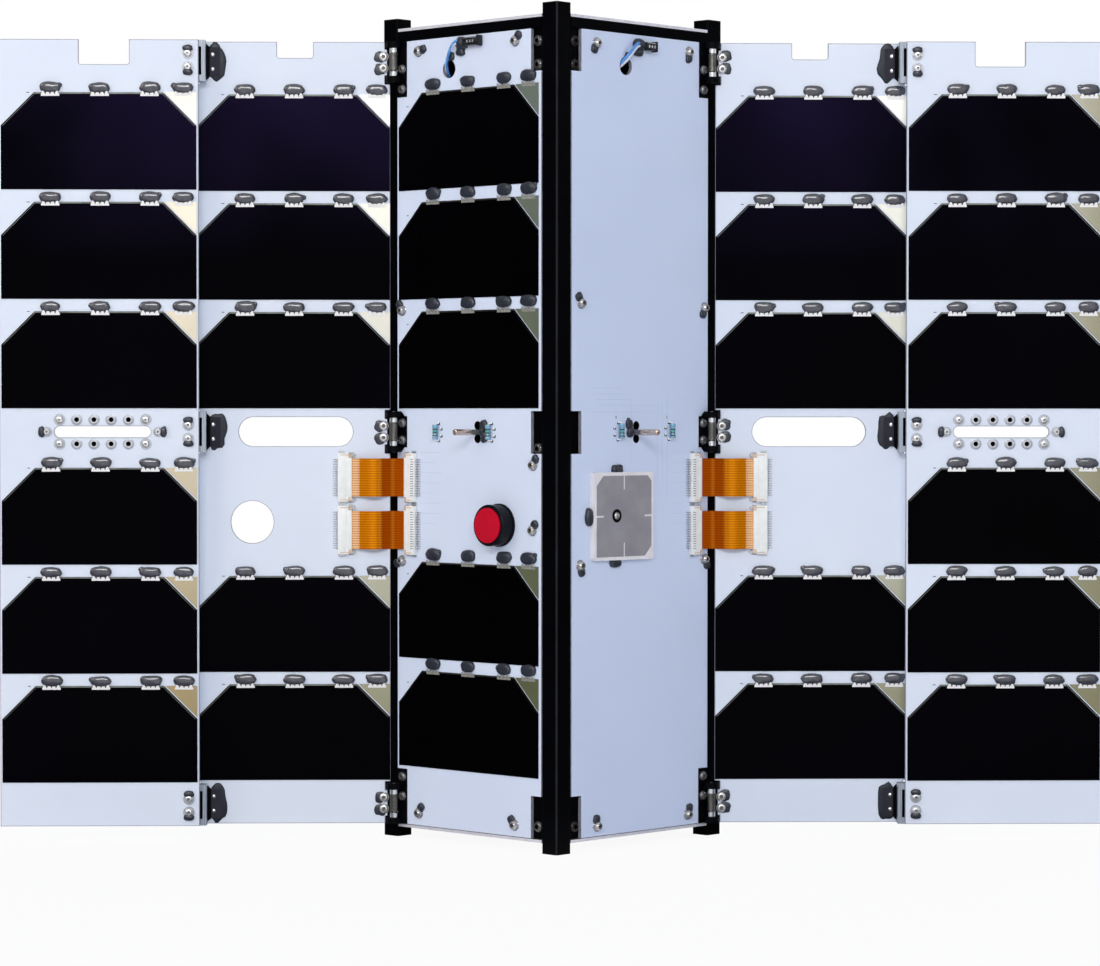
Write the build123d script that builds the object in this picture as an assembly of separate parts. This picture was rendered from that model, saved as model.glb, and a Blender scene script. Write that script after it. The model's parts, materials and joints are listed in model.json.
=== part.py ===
from build123d import *
import os
from math import sqrt

# Three-unit nanosatellite with two double-folding solar wings, open.
# Millimetres. +Z is up, +X runs along the open wings, -Y is the side with the cells.
# The origin is on the floor, at the centre of the four rail feet.

# Bus
body_side = 100.0
rail_height = 340.5
rail_side = 8.5
rail_corner_r = 1.0
board_thick = 1.6
board_foot = 5.7
board_drop = 9.9
board_gap = 0.1
plate_thick = 1.2
top_plate_drop = 5.5
bottom_plate_z = 4.2
plate_gap = 0.15
frame_bar_high = 4.0
frame_bar_deep = 8.9
frame_gap = 0.05
tab_wide = 5.8
tab_high = 17.0
tab_thick = 2.4
plate_bolt_pcd = 60.0
plate_bolt_r = 1.6
avionics_gap = 0.2
avionics_end_gap = 16.0
middle_rise = 0.75

# Root hinge: the axis stands off the face beside the side rail
root_s = 9.4
root_stand_off = 3.0
pin_r = 0.6
pin_play = 0.04
ear_r = 3.1
ear_thick = 2.4
ear_outer = 8.4
ear_foot = (8.2, 10.8)
shoulder_s = (10.8, 12.7)
shoulder_high = 2.0
long_leaf_end = 14.4
root_knuckle_r = 1.3
root_knuckle_high = 2.0
root_knuckle_outer = 5.9
spring_r = 1.6
spring_play = 0.1
spring_high = 7.6
leaf_wide = 5.8
leaf_proud = 0.4
root_arm_thick = 0.8
root_leaf_thick = 0.8
root_leaf_reach = 6.4
root_leaf_high = 11.0

# Middle hinge: the outer panel lies in front of the inner one when open
mid_reach = 80.2
mid_stand_off = 1.45
mid_knuckle_r = 1.25
mid_inner_knuckle_high = 12.0
mid_outer_knuckle_high = 2.3
mid_knuckle_gap = 0.2
mid_web_thick = 1.6
mid_web_in = 2.6
mid_web_play = 0.35
mid_leaf_thick = 0.8
mid_leaf_reach = 6.8
mid_window_reach = 0.6
mid_window_high = 11.7
bracket_thick = 1.0
bracket_reach = 8.3
bracket_high = 12.1
bracket_flare = (4.1, 2.7)
bracket_flare_high = 14.8
bracket_near = 2.2
bracket_neck = 2.4

# Wing panels
panel_thick = 1.6
inner_in = 1.5
inner_out = 1.9
inner_front_gap = 1.5
outer_in = 0.1
outer_wide = 82.1
outer_front_gap = 5.35
hinge_notch_play = 0.6
web_notch_end = 0.3

# Openings of the panels: distances are from the root axis.
# Blind nuts close the small lacing holes beside the outer slot from behind.
inner_notch = {"at": 40.9, "wide": 15.0, "deep": 6.7}
inner_slot = {"at": 40.7, "wide": 47.4, "high": 12.2}
cap_hole = {"at": 58.8, "below": 37.6, "r": 8.85}
outer_notch = {"at": 119.2, "wide": 20.8, "deep": 10.3}
outer_slot = {"at": 120.0, "wide": 39.8, "high": 4.6}
notch_corner_r = 1.0
lace_hole_r = 1.1
lace_pitch = 7.1
lace_row = 5.0
lace_count = 4
lace_nut_r = 1.8
lace_nut_high = 0.9
lace_nut_deep = 0.5

# Solar cells: three rows above the middle and three below, counted from the top
cell_wide = 80.4
cell_row_gap = 5.1
cell_top_margin = 21.8
cell_middle_margin = 9.7
cell_foot_margin = 18.1
cell_crop = 13.7
cell_thick = 0.3
diode_gap = 0.5
face_cell_s = 49.8
face_cell_foot_margin = 24.3
inner_rows = [0, 1, 2, 4, 5]
face_rows = [0, 1, 2, 4, 5]

# What stands on the two front faces: s is measured from the side rail's edge
stud_foot_r = 1.1
stud_foot_high = 4.6
stud_r = 1.3
stud_high = 13.5
stud_tip = 0.4
stud_s = {"left": 55.6, "right": 54.2}
stud_hole_r = 1.5
stud_hole_s = {"left": 55.6, "right": 53.0}
stud_hole_rise = 2.65
wire_hole_r = 3.7
wire_hole_s = {"left": 39.1, "right": 59.4}
wire_hole_drop = 13.1
cap_s = 68.1
cap_r = 8.4
cap_high = 7.4
cap_foot_r = 8.75
cap_foot_high = 0.9
cap_disc_r = 7.1
cap_disc_high = 0.6
cap_chamfer = 0.3
antenna_side = 35.6
antenna_s = 62.6
antenna_below = 34.0
antenna_thick = 2.2
antenna_corner_r = 1.3
antenna_metal_side = 32.8
antenna_metal_thick = 0.15
antenna_metal_crop = 4.0
antenna_metal_trim = 2.2
antenna_slit_wide = 0.75
antenna_slit_long = {"across": 4.2, "upright": 5.6}

# Flat cables over the root hinge and their sockets
cable_wide = 15.8
cable_thick = 0.2
cable_below = [19.0, 40.9]
socket_high = 20.2
socket_wide = 6.0
socket_rise = 2.2
face_socket_s = 17.2
panel_socket_at = 20.3
cable_lift = 1.1
cable_knee = 3.4
cable_bend_r = 7.0

# Wire connectors and leads at the top of the two front faces
plug_wide = 10.0
plug_high = 7.0
plug_rise = 2.4
plug_s = {"left": 50.6, "right": 47.0}
plug_drop = {"left": 4.0, "right": 4.9}
lead_r = 0.55
lead_pitch = 1.9
lead_lift = 1.2
lead_bend_r = 1.6
lead_drop = 3.0

# A cutting tool this long reaches past whatever it cuts
cut_over = 20.0
plate_edge_gap = 0.3

half_side = body_side / 2
half_diagonal = body_side / sqrt(2)
board_low = board_foot
board_high = rail_height - board_drop
root_x = half_diagonal - (root_s - root_stand_off) / sqrt(2)
root_y = -(root_s + root_stand_off) / sqrt(2)
mid_w = mid_stand_off - inner_front_gap
outer_back_w = mid_w + outer_front_gap
panel_z = (board_low + board_high) / 2
panel_high = board_high - board_low
middle_z = panel_z + middle_rise

# Hinge stations up the height, shared by the root and the middle hinges
hinge_z = {"top": board_high - ear_outer, "middle": middle_z, "bottom": board_low + ear_outer}
leaf_span = {"top": (-long_leaf_end, ear_outer), "middle": (-ear_outer, ear_outer),
             "bottom": (-ear_outer, long_leaf_end)}

cell_zone = board_high - cell_top_margin - middle_z - cell_middle_margin
cell_high = (cell_zone - 2 * cell_row_gap) / 3
cell_pitch = cell_high + cell_row_gap
cable_z = [middle_z - below for below in cable_below]
cap_z = middle_z - cap_hole["below"]
antenna_z = middle_z - antenna_below

# A face plane has x along the face from the side rail, y up and z outwards.
LEFT_FACE = Plane(origin=(-half_diagonal, 0, 0), x_dir=(1, -1, 0), z_dir=(-1, -1, 0))
# The wing plane has x outwards from the root axis, y up and z towards the cell side.
RIGHT_WING = Plane(origin=(root_x, root_y, 0), x_dir=(1, 0, 0), z_dir=(0, -1, 0))
BODY = Rot(0, 0, -45)


def solids_of(*shapes):
    found = []
    for shape in shapes:
        found += list(shape.solids())
    return found


def save(node, *shapes):
    export_step(Compound(solids_of(*shapes)), os.path.join("parts", node + ".step"))


def slab(outline, low, high):
    return Pos(0, 0, low) * extrude(outline, high - low)


def rod(radius, low, high):
    return Pos(0, 0, (low + high) / 2) * Cylinder(radius, high - low)


def box_between(x, y, z):
    centre = ((x[0] + x[1]) / 2, (y[0] + y[1]) / 2, (z[0] + z[1]) / 2)
    return Pos(*centre) * Box(x[1] - x[0], y[1] - y[0], z[1] - z[0])


def mirrored(shape):
    return mirror(shape, about=Plane.YZ)


def on_face(side, shape):
    placed = LEFT_FACE * shape
    return placed if side == "left" else mirrored(placed)


def on_wing(side, shape):
    placed = RIGHT_WING * shape
    return placed if side == "right" else mirrored(placed)


# Bus structure, drawn square to X and Y and then turned by 45 degrees

def rail():
    outline = Rectangle(rail_side, rail_side)
    return slab(fillet(outline.vertices(), rail_corner_r), 0, rail_height)


def rail_corners(margin):
    """The four rail squares with a margin round them, as a sketch to cut away."""
    side = rail_side + 2 * margin
    places = GridLocations(body_side - rail_side, body_side - rail_side, 2, 2)
    return Sketch() + [place * Rectangle(side, side) for place in places]


def cross_frame(bar_low, tab_low):
    """A ring inside the boards with two screw tabs at each rail."""
    outer = body_side - 2 * board_thick
    ring = Rectangle(outer, outer) - Rectangle(outer - 2 * frame_bar_deep, outer - 2 * frame_bar_deep)
    frame = slab(ring - rail_corners(frame_gap), bar_low, bar_low + frame_bar_high)
    edge = half_side - rail_side - frame_gap
    for turn in range(4):
        for end in (-1, 1):
            across = sorted((end * edge, end * (edge - tab_wide)))
            deep = (-outer / 2, -outer / 2 + tab_thick)
            frame += Rot(0, 0, 90 * turn) * box_between(across, deep, (tab_low, tab_low + tab_high))
    return frame


def top_frame():
    """The upper ring stands proud of the boards' edge, level with their faces."""
    ring = cross_frame(board_high, board_high - tab_high)
    lip_deep = board_thick + tab_thick
    lip = Rectangle(body_side, body_side) - Rectangle(body_side - 2 * lip_deep, body_side - 2 * lip_deep)
    lip_low = board_high + board_gap
    return ring + slab(lip - rail_corners(frame_gap), lip_low, board_high + frame_bar_high)


def end_plate(low):
    side = body_side - 2 * plate_edge_gap
    outline = Rectangle(side, side) - rail_corners(plate_gap)
    bolts = PolarLocations(plate_bolt_pcd / 2, 4, 45)
    for place in bolts:
        outline -= place * Circle(plate_bolt_r)
    return slab(outline, low, low + plate_thick)


def bus_leaf_outline(station):
    """The root hinge's plate on the bus: s across and z up. The middle one has cut shoulders."""
    low = hinge_z[station] + leaf_span[station][0]
    high = hinge_z[station] + leaf_span[station][1]
    s_in = rail_side + board_gap
    s_out = rail_side + leaf_wide - board_gap
    outline = Pos((s_in + s_out) / 2, (low + high) / 2) * Rectangle(s_out - s_in, high - low)
    if station == "middle":
        for end, step in ((high, -shoulder_high), (low, shoulder_high)):
            corner = [(shoulder_s[0], end), (shoulder_s[1], end + step), (s_out, end + step), (s_out, end)]
            outline -= make_face(Polyline(*corner, close=True))
    return outline


def face_board(side, winged):
    """A face board: s across and z up, notched round the screw tabs or the hinge leaves."""
    left = rail_side + board_gap
    right = body_side - rail_side - board_gap
    outline = Pos((left + right) / 2, panel_z) * Rectangle(right - left, panel_high)
    tab_lows = (board_low, hinge_z["middle"] - tab_high / 2, board_high - tab_high)
    tab_notch = Rectangle(2 * tab_wide, tab_high + 2 * board_gap)
    for edge in (body_side - rail_side,) if winged else (rail_side, body_side - rail_side):
        for low in tab_lows:
            outline -= Pos(edge, low + tab_high / 2) * tab_notch
    if winged:
        for station in hinge_z:
            outline -= offset(bus_leaf_outline(station), board_gap, kind=Kind.INTERSECTION)
        outline -= Pos(wire_hole_s[side], board_high - wire_hole_drop) * Circle(wire_hole_r)
        for rise in (-stud_hole_rise, stud_hole_rise):
            outline -= Pos(stud_hole_s[side], middle_z + rise) * Circle(stud_hole_r)
    return slab(outline, -board_thick, 0)


# Solar cells

def cell_outline():
    half = cell_wide / 2
    top = cell_high
    points = [(-half, 0), (half, 0), (half, top - cell_crop), (half - cell_crop, top),
              (cell_crop - half, top), (-half, top - cell_crop)]
    return make_face(Polyline(*points, close=True))


def diode_outline(hand):
    """A right triangle that fills one cropped corner: hand is the side it is on."""
    half = cell_wide / 2
    leg = cell_crop - diode_gap * sqrt(2)
    points = [(hand * half, cell_high), (hand * (half - leg), cell_high), (hand * half, cell_high - leg)]
    return make_face(Polyline(*points, close=True))


def row_low(row, foot_margin):
    """Lower edge of a row of cells, 0 at the top and 5 at the foot."""
    if row < 3:
        return board_high - cell_top_margin - cell_high - row * cell_pitch
    return board_low + foot_margin + (5 - row) * cell_pitch


def cell_row_set(outline, at, rows, front, foot_margin=cell_foot_margin):
    layer = slab(outline, front, front + cell_thick)
    return [Pos(at, row_low(row, foot_margin), 0) * layer for row in rows]


# Root hinge

def root_bus_leaf(station):
    """The black leaf on the bus: a plate on the screw tabs with two ears for the pin."""
    centre = hinge_z[station]
    leaf = Plane.XZ * slab(bus_leaf_outline(station), -board_thick, leaf_proud)
    axis = (root_s, -root_stand_off)
    foot_wide = ear_foot[1] - ear_foot[0]
    ear_outline = Pos(*axis) * Circle(ear_r)
    ear_outline += Pos(sum(ear_foot) / 2, -root_stand_off / 2) * Rectangle(foot_wide, root_stand_off)
    ear_outline -= Pos(root_s, cut_over / 2 - board_gap) * Rectangle(cut_over, cut_over)
    for end in (-1, 1):
        zs = sorted((centre + end * (ear_outer - ear_thick), centre + end * ear_outer))
        leaf += slab(ear_outline, *zs)
    bore = Pos(*axis, 0) * rod(pin_r + pin_play / 2, centre - cut_over, centre + cut_over)
    return Pos(-half_diagonal, 0, 0) * Rot(0, 0, -45) * (leaf - bore)


def root_pin(station):
    centre = hinge_z[station]
    pin = rod(pin_r, centre - ear_outer - 0.1, centre + ear_outer + 0.1)
    return Pos(-root_x, root_y, 0) * pin


def root_spring(station):
    centre = hinge_z[station]
    tube = rod(spring_r, centre - spring_high / 2, centre + spring_high / 2)
    tube -= rod(pin_r + spring_play, centre - spring_high, centre + spring_high)
    return Pos(-root_x, root_y, 0) * tube


def root_panel_leaf(station):
    """The bright leaf behind the inner panel, with an arm to two knuckles."""
    centre = hinge_z[station]
    back = inner_front_gap + panel_thick
    arm_x = (root_knuckle_r - root_arm_thick, root_knuckle_r)
    high = (centre - root_leaf_high / 2, centre + root_leaf_high / 2)
    leaf = box_between((arm_x[0], root_leaf_reach), (back, back + root_leaf_thick), high)
    for end in (-1, 1):
        far = root_knuckle_outer
        zs = sorted((centre + end * far, centre + end * (far - root_knuckle_high)))
        leaf += rod(root_knuckle_r, *zs)
        leaf += box_between(arm_x, (0, back + root_leaf_thick), zs)
    leaf -= rod(pin_r + pin_play, centre - cut_over, centre + cut_over)
    return Pos(root_x, root_y, 0) * leaf


# Middle hinge, drawn in plan: x outwards from the root axis, y away from the camera

def mid_bracket(station):
    """The black bracket on the front of the inner panel: it flares out to its long knuckle."""
    centre = hinge_z[station]
    half = bracket_high / 2
    flare = bracket_flare_high / 2
    knuckle = mid_inner_knuckle_high / 2
    plate_y = (inner_front_gap - bracket_thick, inner_front_gap)
    lower = [(-bracket_reach, -half), (-bracket_flare[0], -half), (-bracket_flare[1], -flare),
             (-bracket_near, -flare)]
    upper = [(x, -z) for x, z in reversed(lower)]
    outline = make_face(Polyline(*lower, *upper, close=True))
    plate = Plane.XZ * slab(outline, -plate_y[1], -plate_y[0])
    bracket = Pos(mid_reach, 0, centre) * plate
    zs = (centre - knuckle, centre + knuckle)
    bracket += box_between((mid_reach - bracket_neck, mid_reach), plate_y, zs)
    bracket += Pos(mid_reach, -mid_w, 0) * rod(mid_knuckle_r, *zs)
    bracket -= Pos(mid_reach, -mid_w, 0) * rod(pin_r + pin_play, centre - cut_over, centre + cut_over)
    return Pos(root_x, root_y, 0) * bracket


def mid_pin(station):
    centre = hinge_z[station]
    half = mid_inner_knuckle_high / 2 + mid_knuckle_gap + mid_outer_knuckle_high
    return Pos(root_x + mid_reach, root_y - mid_w, 0) * rod(pin_r, centre - half, centre + half)


def mid_outer_leaf(station):
    """The bright leaf behind the outer panel: a web beside a window comes back to two knuckles."""
    centre = hinge_z[station]
    inner_end = mid_inner_knuckle_high / 2 + mid_knuckle_gap
    outer_end = inner_end + mid_outer_knuckle_high
    whole = (centre - outer_end, centre + outer_end)
    web_x = (-mid_web_in, mid_web_thick - mid_web_in)
    leaf_y = (-outer_front_gap, -outer_front_gap + mid_leaf_thick)
    leaf = box_between((-mid_web_in, mid_leaf_reach), leaf_y, whole)
    window = (centre - mid_window_high / 2, centre + mid_window_high / 2)
    leaf -= box_between((web_x[1], mid_window_reach), leaf_y, window)
    leaf += box_between(web_x, (-outer_front_gap, -mid_knuckle_r - mid_web_play), whole)
    for end in (-1, 1):
        zs = sorted((centre + end * inner_end, centre + end * outer_end))
        leaf += rod(mid_knuckle_r, *zs)
        leaf += box_between((-mid_web_in, 0), (-mid_knuckle_r, 0), zs)
        leaf += box_between(web_x, (-outer_front_gap, 0), zs)
    leaf -= rod(pin_r + pin_play, centre - cut_over, centre + cut_over)
    return Pos(root_x + mid_reach, root_y - mid_w, 0) * leaf


# Wing panels, drawn in the wing plane

def rounded_notch(at, wide, deep):
    notch = Pos(at, board_high) * Rectangle(wide, 2 * deep)
    corners = notch.vertices().group_by(Axis.Y)[0]
    return fillet(corners, notch_corner_r)


def inner_board(side):
    low_x = inner_in
    high_x = mid_reach + inner_out
    outline = Pos((low_x + high_x) / 2, panel_z) * Rectangle(high_x - low_x, panel_high)
    outline -= rounded_notch(inner_notch["at"], inner_notch["wide"], inner_notch["deep"])
    outline -= Pos(inner_slot["at"], middle_z) * SlotOverall(inner_slot["wide"], inner_slot["high"])
    if side == "left":
        outline -= Pos(cap_hole["at"], cap_z) * Circle(cap_hole["r"])
    for centre in hinge_z.values():
        for end in (-1, 1):
            ear_mid = centre + end * (ear_outer - ear_thick / 2)
            notch = Rectangle(2 * (ear_r + hinge_notch_play), ear_thick + 2 * hinge_notch_play)
            outline -= Pos(0, ear_mid) * notch
        web_high = mid_inner_knuckle_high + 2 * (mid_knuckle_gap + mid_outer_knuckle_high + hinge_notch_play)
        outline -= Pos(high_x, centre) * Rectangle(2 * (inner_out - web_notch_end), web_high)
    return slab(outline, -inner_front_gap - panel_thick, -inner_front_gap)


def lace_places():
    """Places of the open lacing holes above and below the outer slot."""
    return [Pos(outer_slot["at"], middle_z) * place
            for place in GridLocations(lace_pitch, 2 * lace_row, lace_count, 2)]


def outer_board():
    low_x = mid_reach + outer_in
    outline = Pos(low_x + outer_wide / 2, panel_z) * Rectangle(outer_wide, panel_high)
    outline -= rounded_notch(outer_notch["at"], outer_notch["wide"], outer_notch["deep"])
    outline -= Pos(outer_slot["at"], middle_z) * SlotOverall(outer_slot["wide"], outer_slot["high"])
    for place in lace_places():
        outline -= place * Circle(lace_hole_r)
    return slab(outline, outer_back_w, outer_back_w + panel_thick)


def lace_nut():
    """A blind nut behind the outer panel, its bore open to the front."""
    return rod(lace_nut_r, -lace_nut_high, 0) - rod(lace_hole_r, -lace_nut_deep, 0)


# Flat cables and wire leads

def face_point(s, h):
    """Plan place of a point s along the left face and h in front of it."""
    return (-half_diagonal + (s - h) / sqrt(2), -(s + h) / sqrt(2))


def flat_cable(z):
    """A ribbon that leaves its face socket, turns at a knee and meets the panel socket."""
    face_end = face_socket_s - socket_wide / 2
    panel_end = panel_socket_at - socket_wide / 2
    start = face_point(face_end, cable_lift)
    knee = face_point(face_end - cable_knee, cable_lift)
    end = (-root_x - panel_end, root_y + inner_front_gap - cable_lift)
    path = FilletPolyline(start, knee, end, radius=cable_bend_r)
    section = Plane(origin=(*start, 0), x_dir=(0, 0, 1), z_dir=path % 0) * Rectangle(cable_wide, cable_thick)
    return Pos(0, 0, z) * sweep(section, path=path)


def lead(side, number):
    """One wire from the plug's end over the board's edge of the wire hole and in."""
    plug_z = board_high - plug_drop[side]
    hole_s = wire_hole_s[side]
    hole_z = board_high - wire_hole_drop
    hand = 1 if hole_s > plug_s[side] else -1
    offset = (number - 0.5) * lead_pitch
    points = [(plug_s[side] + hand * plug_wide / 2, plug_z + offset, lead_lift),
              (hole_s + hand * offset, plug_z + offset, lead_lift),
              (hole_s + hand * offset, hole_z, lead_lift),
              (hole_s + hand * offset, hole_z, -lead_drop)]
    path = FilletPolyline(*points, radius=lead_bend_r)
    return sweep(Plane(origin=points[0], z_dir=path % 0) * Circle(lead_r), path=path)


def socket(at, z, base):
    across = (at - socket_wide / 2, at + socket_wide / 2)
    return box_between(across, (z - socket_high / 2, z + socket_high / 2), (base, base + socket_rise))


# What stands on the faces

def stud():
    """A hold-down stud: a slim foot and a thicker shank, revolved about its own axis."""
    points = [(0, 0), (stud_foot_r, 0), (stud_foot_r, stud_foot_high), (stud_r, stud_foot_high),
              (stud_r, stud_high - stud_tip), (stud_r - stud_tip, stud_high), (0, stud_high)]
    half = make_face(Polyline(*points, close=True))
    return revolve(Plane.XZ * half, axis=Axis.Z)


def arming_cap():
    body = rod(cap_r, 0, cap_high - cap_disc_high)
    top = body.faces().sort_by(Axis.Z)[-1]
    return chamfer(top.edges(), cap_chamfer) + rod(cap_foot_r, 0, cap_foot_high)


def antenna_ceramic():
    outline = Rectangle(antenna_side, antenna_side)
    return slab(fillet(outline.vertices(), antenna_corner_r), 0, antenna_thick)


def antenna_metal():
    """The patch: two opposite corners cropped, a third one trimmed, a slit from each edge."""
    half = antenna_metal_side / 2
    crop = antenna_metal_crop
    trim = antenna_metal_trim
    points = [(crop - half, -half), (half, -half), (half, half - crop), (half - crop, half),
              (trim - half, half), (-half, half - trim), (-half, crop - half)]
    outline = make_face(Polyline(*points, close=True))
    for turn in range(4):
        slit_long = antenna_slit_long["upright" if turn % 2 else "across"]
        slit = Rectangle(slit_long, antenna_slit_wide)
        outline -= Rot(0, 0, 90 * turn) * Pos(half - slit_long / 2, 0) * slit
    return slab(outline, antenna_thick, antenna_thick + antenna_metal_thick)


os.makedirs("parts", exist_ok=True)

for name, turn in {"rail_front": 0, "rail_right": 90, "rail_back": 180, "rail_left": 270}.items():
    corner = half_side - rail_side / 2
    save(name, BODY * Rot(0, 0, turn) * Pos(corner, -corner, 0) * rail())

save("frame_top", BODY * top_frame())
save("frame_middle", BODY * cross_frame(middle_z - frame_bar_high / 2, hinge_z["middle"] - tab_high / 2))
save("frame_bottom", BODY * cross_frame(board_low, board_low))
save("top_plate", BODY * end_plate(rail_height - top_plate_drop))
save("bottom_plate", BODY * end_plate(bottom_plate_z))
avionics_side = body_side - 2 * (board_thick + frame_bar_deep + avionics_gap)
avionics = Rectangle(avionics_side, avionics_side)
avionics_low = bottom_plate_z + plate_thick + avionics_end_gap
avionics_high = rail_height - top_plate_drop - avionics_end_gap
save("avionics_stack", BODY * slab(avionics, avionics_low, avionics_high))

save("board_front_left", on_face("left", face_board("left", True)))
save("board_front_right", on_face("right", face_board("right", True)))
for side in ("left", "right"):
    rear = mirror(on_face(side, face_board(side, False)), about=Plane.XZ)
    save("board_back_" + side, rear)

save("face_cells", *[on_face("left", cell) for cell in
                     cell_row_set(cell_outline(), face_cell_s, face_rows, 0, face_cell_foot_margin)])
save("face_diodes", *[on_face("left", diode) for diode in
                      cell_row_set(diode_outline(1), face_cell_s, face_rows, 0, face_cell_foot_margin)])
save("arming_cap", on_face("left", Pos(cap_s, cap_z, 0) * arming_cap()))
cap_disc = rod(cap_disc_r, cap_high - cap_disc_high, cap_high)
save("arming_disc", on_face("left", Pos(cap_s, cap_z, 0) * cap_disc))
antenna_place = Pos(antenna_s, antenna_z, 0)
save("antenna_ceramic", on_face("right", antenna_place * antenna_ceramic()))
save("antenna_metal", on_face("right", antenna_place * antenna_metal()))
save("hold_down_studs", *[on_face(side, Pos(s, middle_z, 0) * stud()) for side, s in stud_s.items()])
plug = Pos(0, 0, plug_rise / 2) * Box(plug_wide, plug_high, plug_rise)
save("wire_plugs", *[on_face(side, Pos(s, board_high - plug_drop[side], 0) * plug)
                     for side, s in plug_s.items()])
save("wire_leads", *[on_face(side, lead(side, number)) for side in plug_s for number in (0, 1)])

for side in ("left", "right"):
    hand = 1 if side == "right" else -1
    bus_side = (lambda shape: shape) if side == "left" else mirrored
    wing_side = (lambda shape: shape) if side == "right" else mirrored

    save("face_sockets_" + side, *[on_face(side, socket(face_socket_s, z, 0)) for z in cable_z])
    save("flat_cables_" + side, *[bus_side(flat_cable(z)) for z in cable_z])
    save("root_bus_leaves_" + side, *[bus_side(root_bus_leaf(station)) for station in hinge_z])
    save("root_pins_" + side, *[bus_side(root_pin(station)) for station in hinge_z])
    save("root_springs_" + side, *[bus_side(root_spring(station)) for station in hinge_z])

    inner_front = -inner_front_gap
    inner_cell_at = (inner_in + mid_reach + inner_out) / 2
    save("inner_board_" + side, on_wing(side, inner_board(side)))
    save("inner_cells_" + side, *[on_wing(side, cell) for cell in
                                  cell_row_set(cell_outline(), inner_cell_at, inner_rows, inner_front)])
    save("inner_diodes_" + side, *[on_wing(side, diode) for diode in
                                   cell_row_set(diode_outline(hand), inner_cell_at, inner_rows,
                                                inner_front)])
    save("inner_sockets_" + side, *[on_wing(side, socket(panel_socket_at, z, inner_front)) for z in cable_z])
    save("root_panel_leaves_" + side, *[wing_side(root_panel_leaf(station)) for station in hinge_z])
    save("mid_brackets_" + side, *[wing_side(mid_bracket(station)) for station in hinge_z])
    save("mid_pins_" + side, *[wing_side(mid_pin(station)) for station in hinge_z])

    outer_front = outer_back_w + panel_thick
    outer_cell_at = mid_reach + outer_in + outer_wide / 2
    save("outer_board_" + side, on_wing(side, outer_board()))
    save("lace_nuts_" + side, *[on_wing(side, Pos(0, 0, outer_back_w) * place * lace_nut())
                                for place in lace_places()])
    save("outer_cells_" + side, *[on_wing(side, cell) for cell in
                                  cell_row_set(cell_outline(), outer_cell_at, range(6), outer_front)])
    save("outer_diodes_" + side, *[on_wing(side, diode) for diode in
                                   cell_row_set(diode_outline(hand), outer_cell_at, range(6), outer_front)])
    save("mid_outer_leaves_" + side, *[wing_side(mid_outer_leaf(station)) for station in hinge_z])
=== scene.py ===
"""Looks of a three-unit nanosatellite that stands with its two solar wings unfolded."""
import bpy
import bmesh
import json
import math
from mathutils import Matrix, Vector, noise


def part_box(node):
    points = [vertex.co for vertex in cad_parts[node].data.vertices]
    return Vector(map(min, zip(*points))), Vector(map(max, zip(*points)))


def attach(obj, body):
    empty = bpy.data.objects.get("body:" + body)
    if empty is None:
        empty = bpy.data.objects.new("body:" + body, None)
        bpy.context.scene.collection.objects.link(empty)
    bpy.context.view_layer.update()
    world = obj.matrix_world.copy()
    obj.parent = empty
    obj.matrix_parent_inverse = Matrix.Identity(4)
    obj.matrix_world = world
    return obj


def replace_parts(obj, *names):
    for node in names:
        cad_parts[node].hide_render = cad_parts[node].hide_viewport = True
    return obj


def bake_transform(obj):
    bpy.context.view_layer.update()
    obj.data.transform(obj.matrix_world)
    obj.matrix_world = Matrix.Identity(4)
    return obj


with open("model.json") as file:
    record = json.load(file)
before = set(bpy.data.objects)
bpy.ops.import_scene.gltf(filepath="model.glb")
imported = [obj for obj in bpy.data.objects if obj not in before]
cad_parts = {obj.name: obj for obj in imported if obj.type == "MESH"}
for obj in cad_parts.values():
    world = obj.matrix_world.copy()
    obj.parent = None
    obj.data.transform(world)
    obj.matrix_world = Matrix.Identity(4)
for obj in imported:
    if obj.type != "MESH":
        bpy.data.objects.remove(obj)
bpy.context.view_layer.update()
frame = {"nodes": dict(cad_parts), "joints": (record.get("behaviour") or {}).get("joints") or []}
MM = 0.001

# Sizes of the frame that the pieces are set against, in millimetres
BODY_SIDE = 100.0
HALF_DIAGONAL = BODY_SIDE / math.sqrt(2)
ROOT_HALF = math.sqrt(0.5)
BOARD_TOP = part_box("inner_board_left")[1].z / MM
BOARD_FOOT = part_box("inner_board_left")[0].z / MM
BOARD_THICK = 1.6
INNER_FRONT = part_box("inner_board_left")[0].y / MM
OUTER_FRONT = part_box("outer_board_left")[0].y / MM
AXES = {joint["name"]: [value / MM for value in joint["pos_m"]] for joint in frame["joints"]}
ROOT_X, ROOT_Y, MIDDLE_Z = AXES["right_root"]
MID_X = AXES["right_mid"][0]
STATION_HALF = 8.4
HINGE_Z = {"top": BOARD_TOP - STATION_HALF, "middle": MIDDLE_Z, "bottom": BOARD_FOOT + STATION_HALF}
LEAF_THICK = 0.8
BRACKET_THICK = 1.0
SIDES = {"left": -1, "right": 1}

# Solar cells
CELL_WIDE = 80.4
CELL_HIGH = 40.0
CELL_CROP = 13.7
CELL_THICK = 0.3
CELL_PITCH = 45.1
CELL_TOP_MARGIN = 21.8
WING_FOOT_MARGIN = 18.1
FACE_FOOT_MARGIN = 24.3
FIVE_ROWS = (0, 1, 2, 4, 5)
FACE_CELL_X = 49.8
TAB_ALONG = (20.3, 40.7, 61.2, 75.0)
TAB_FINGERS = 4
TAB_PITCH = 1.9

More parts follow.
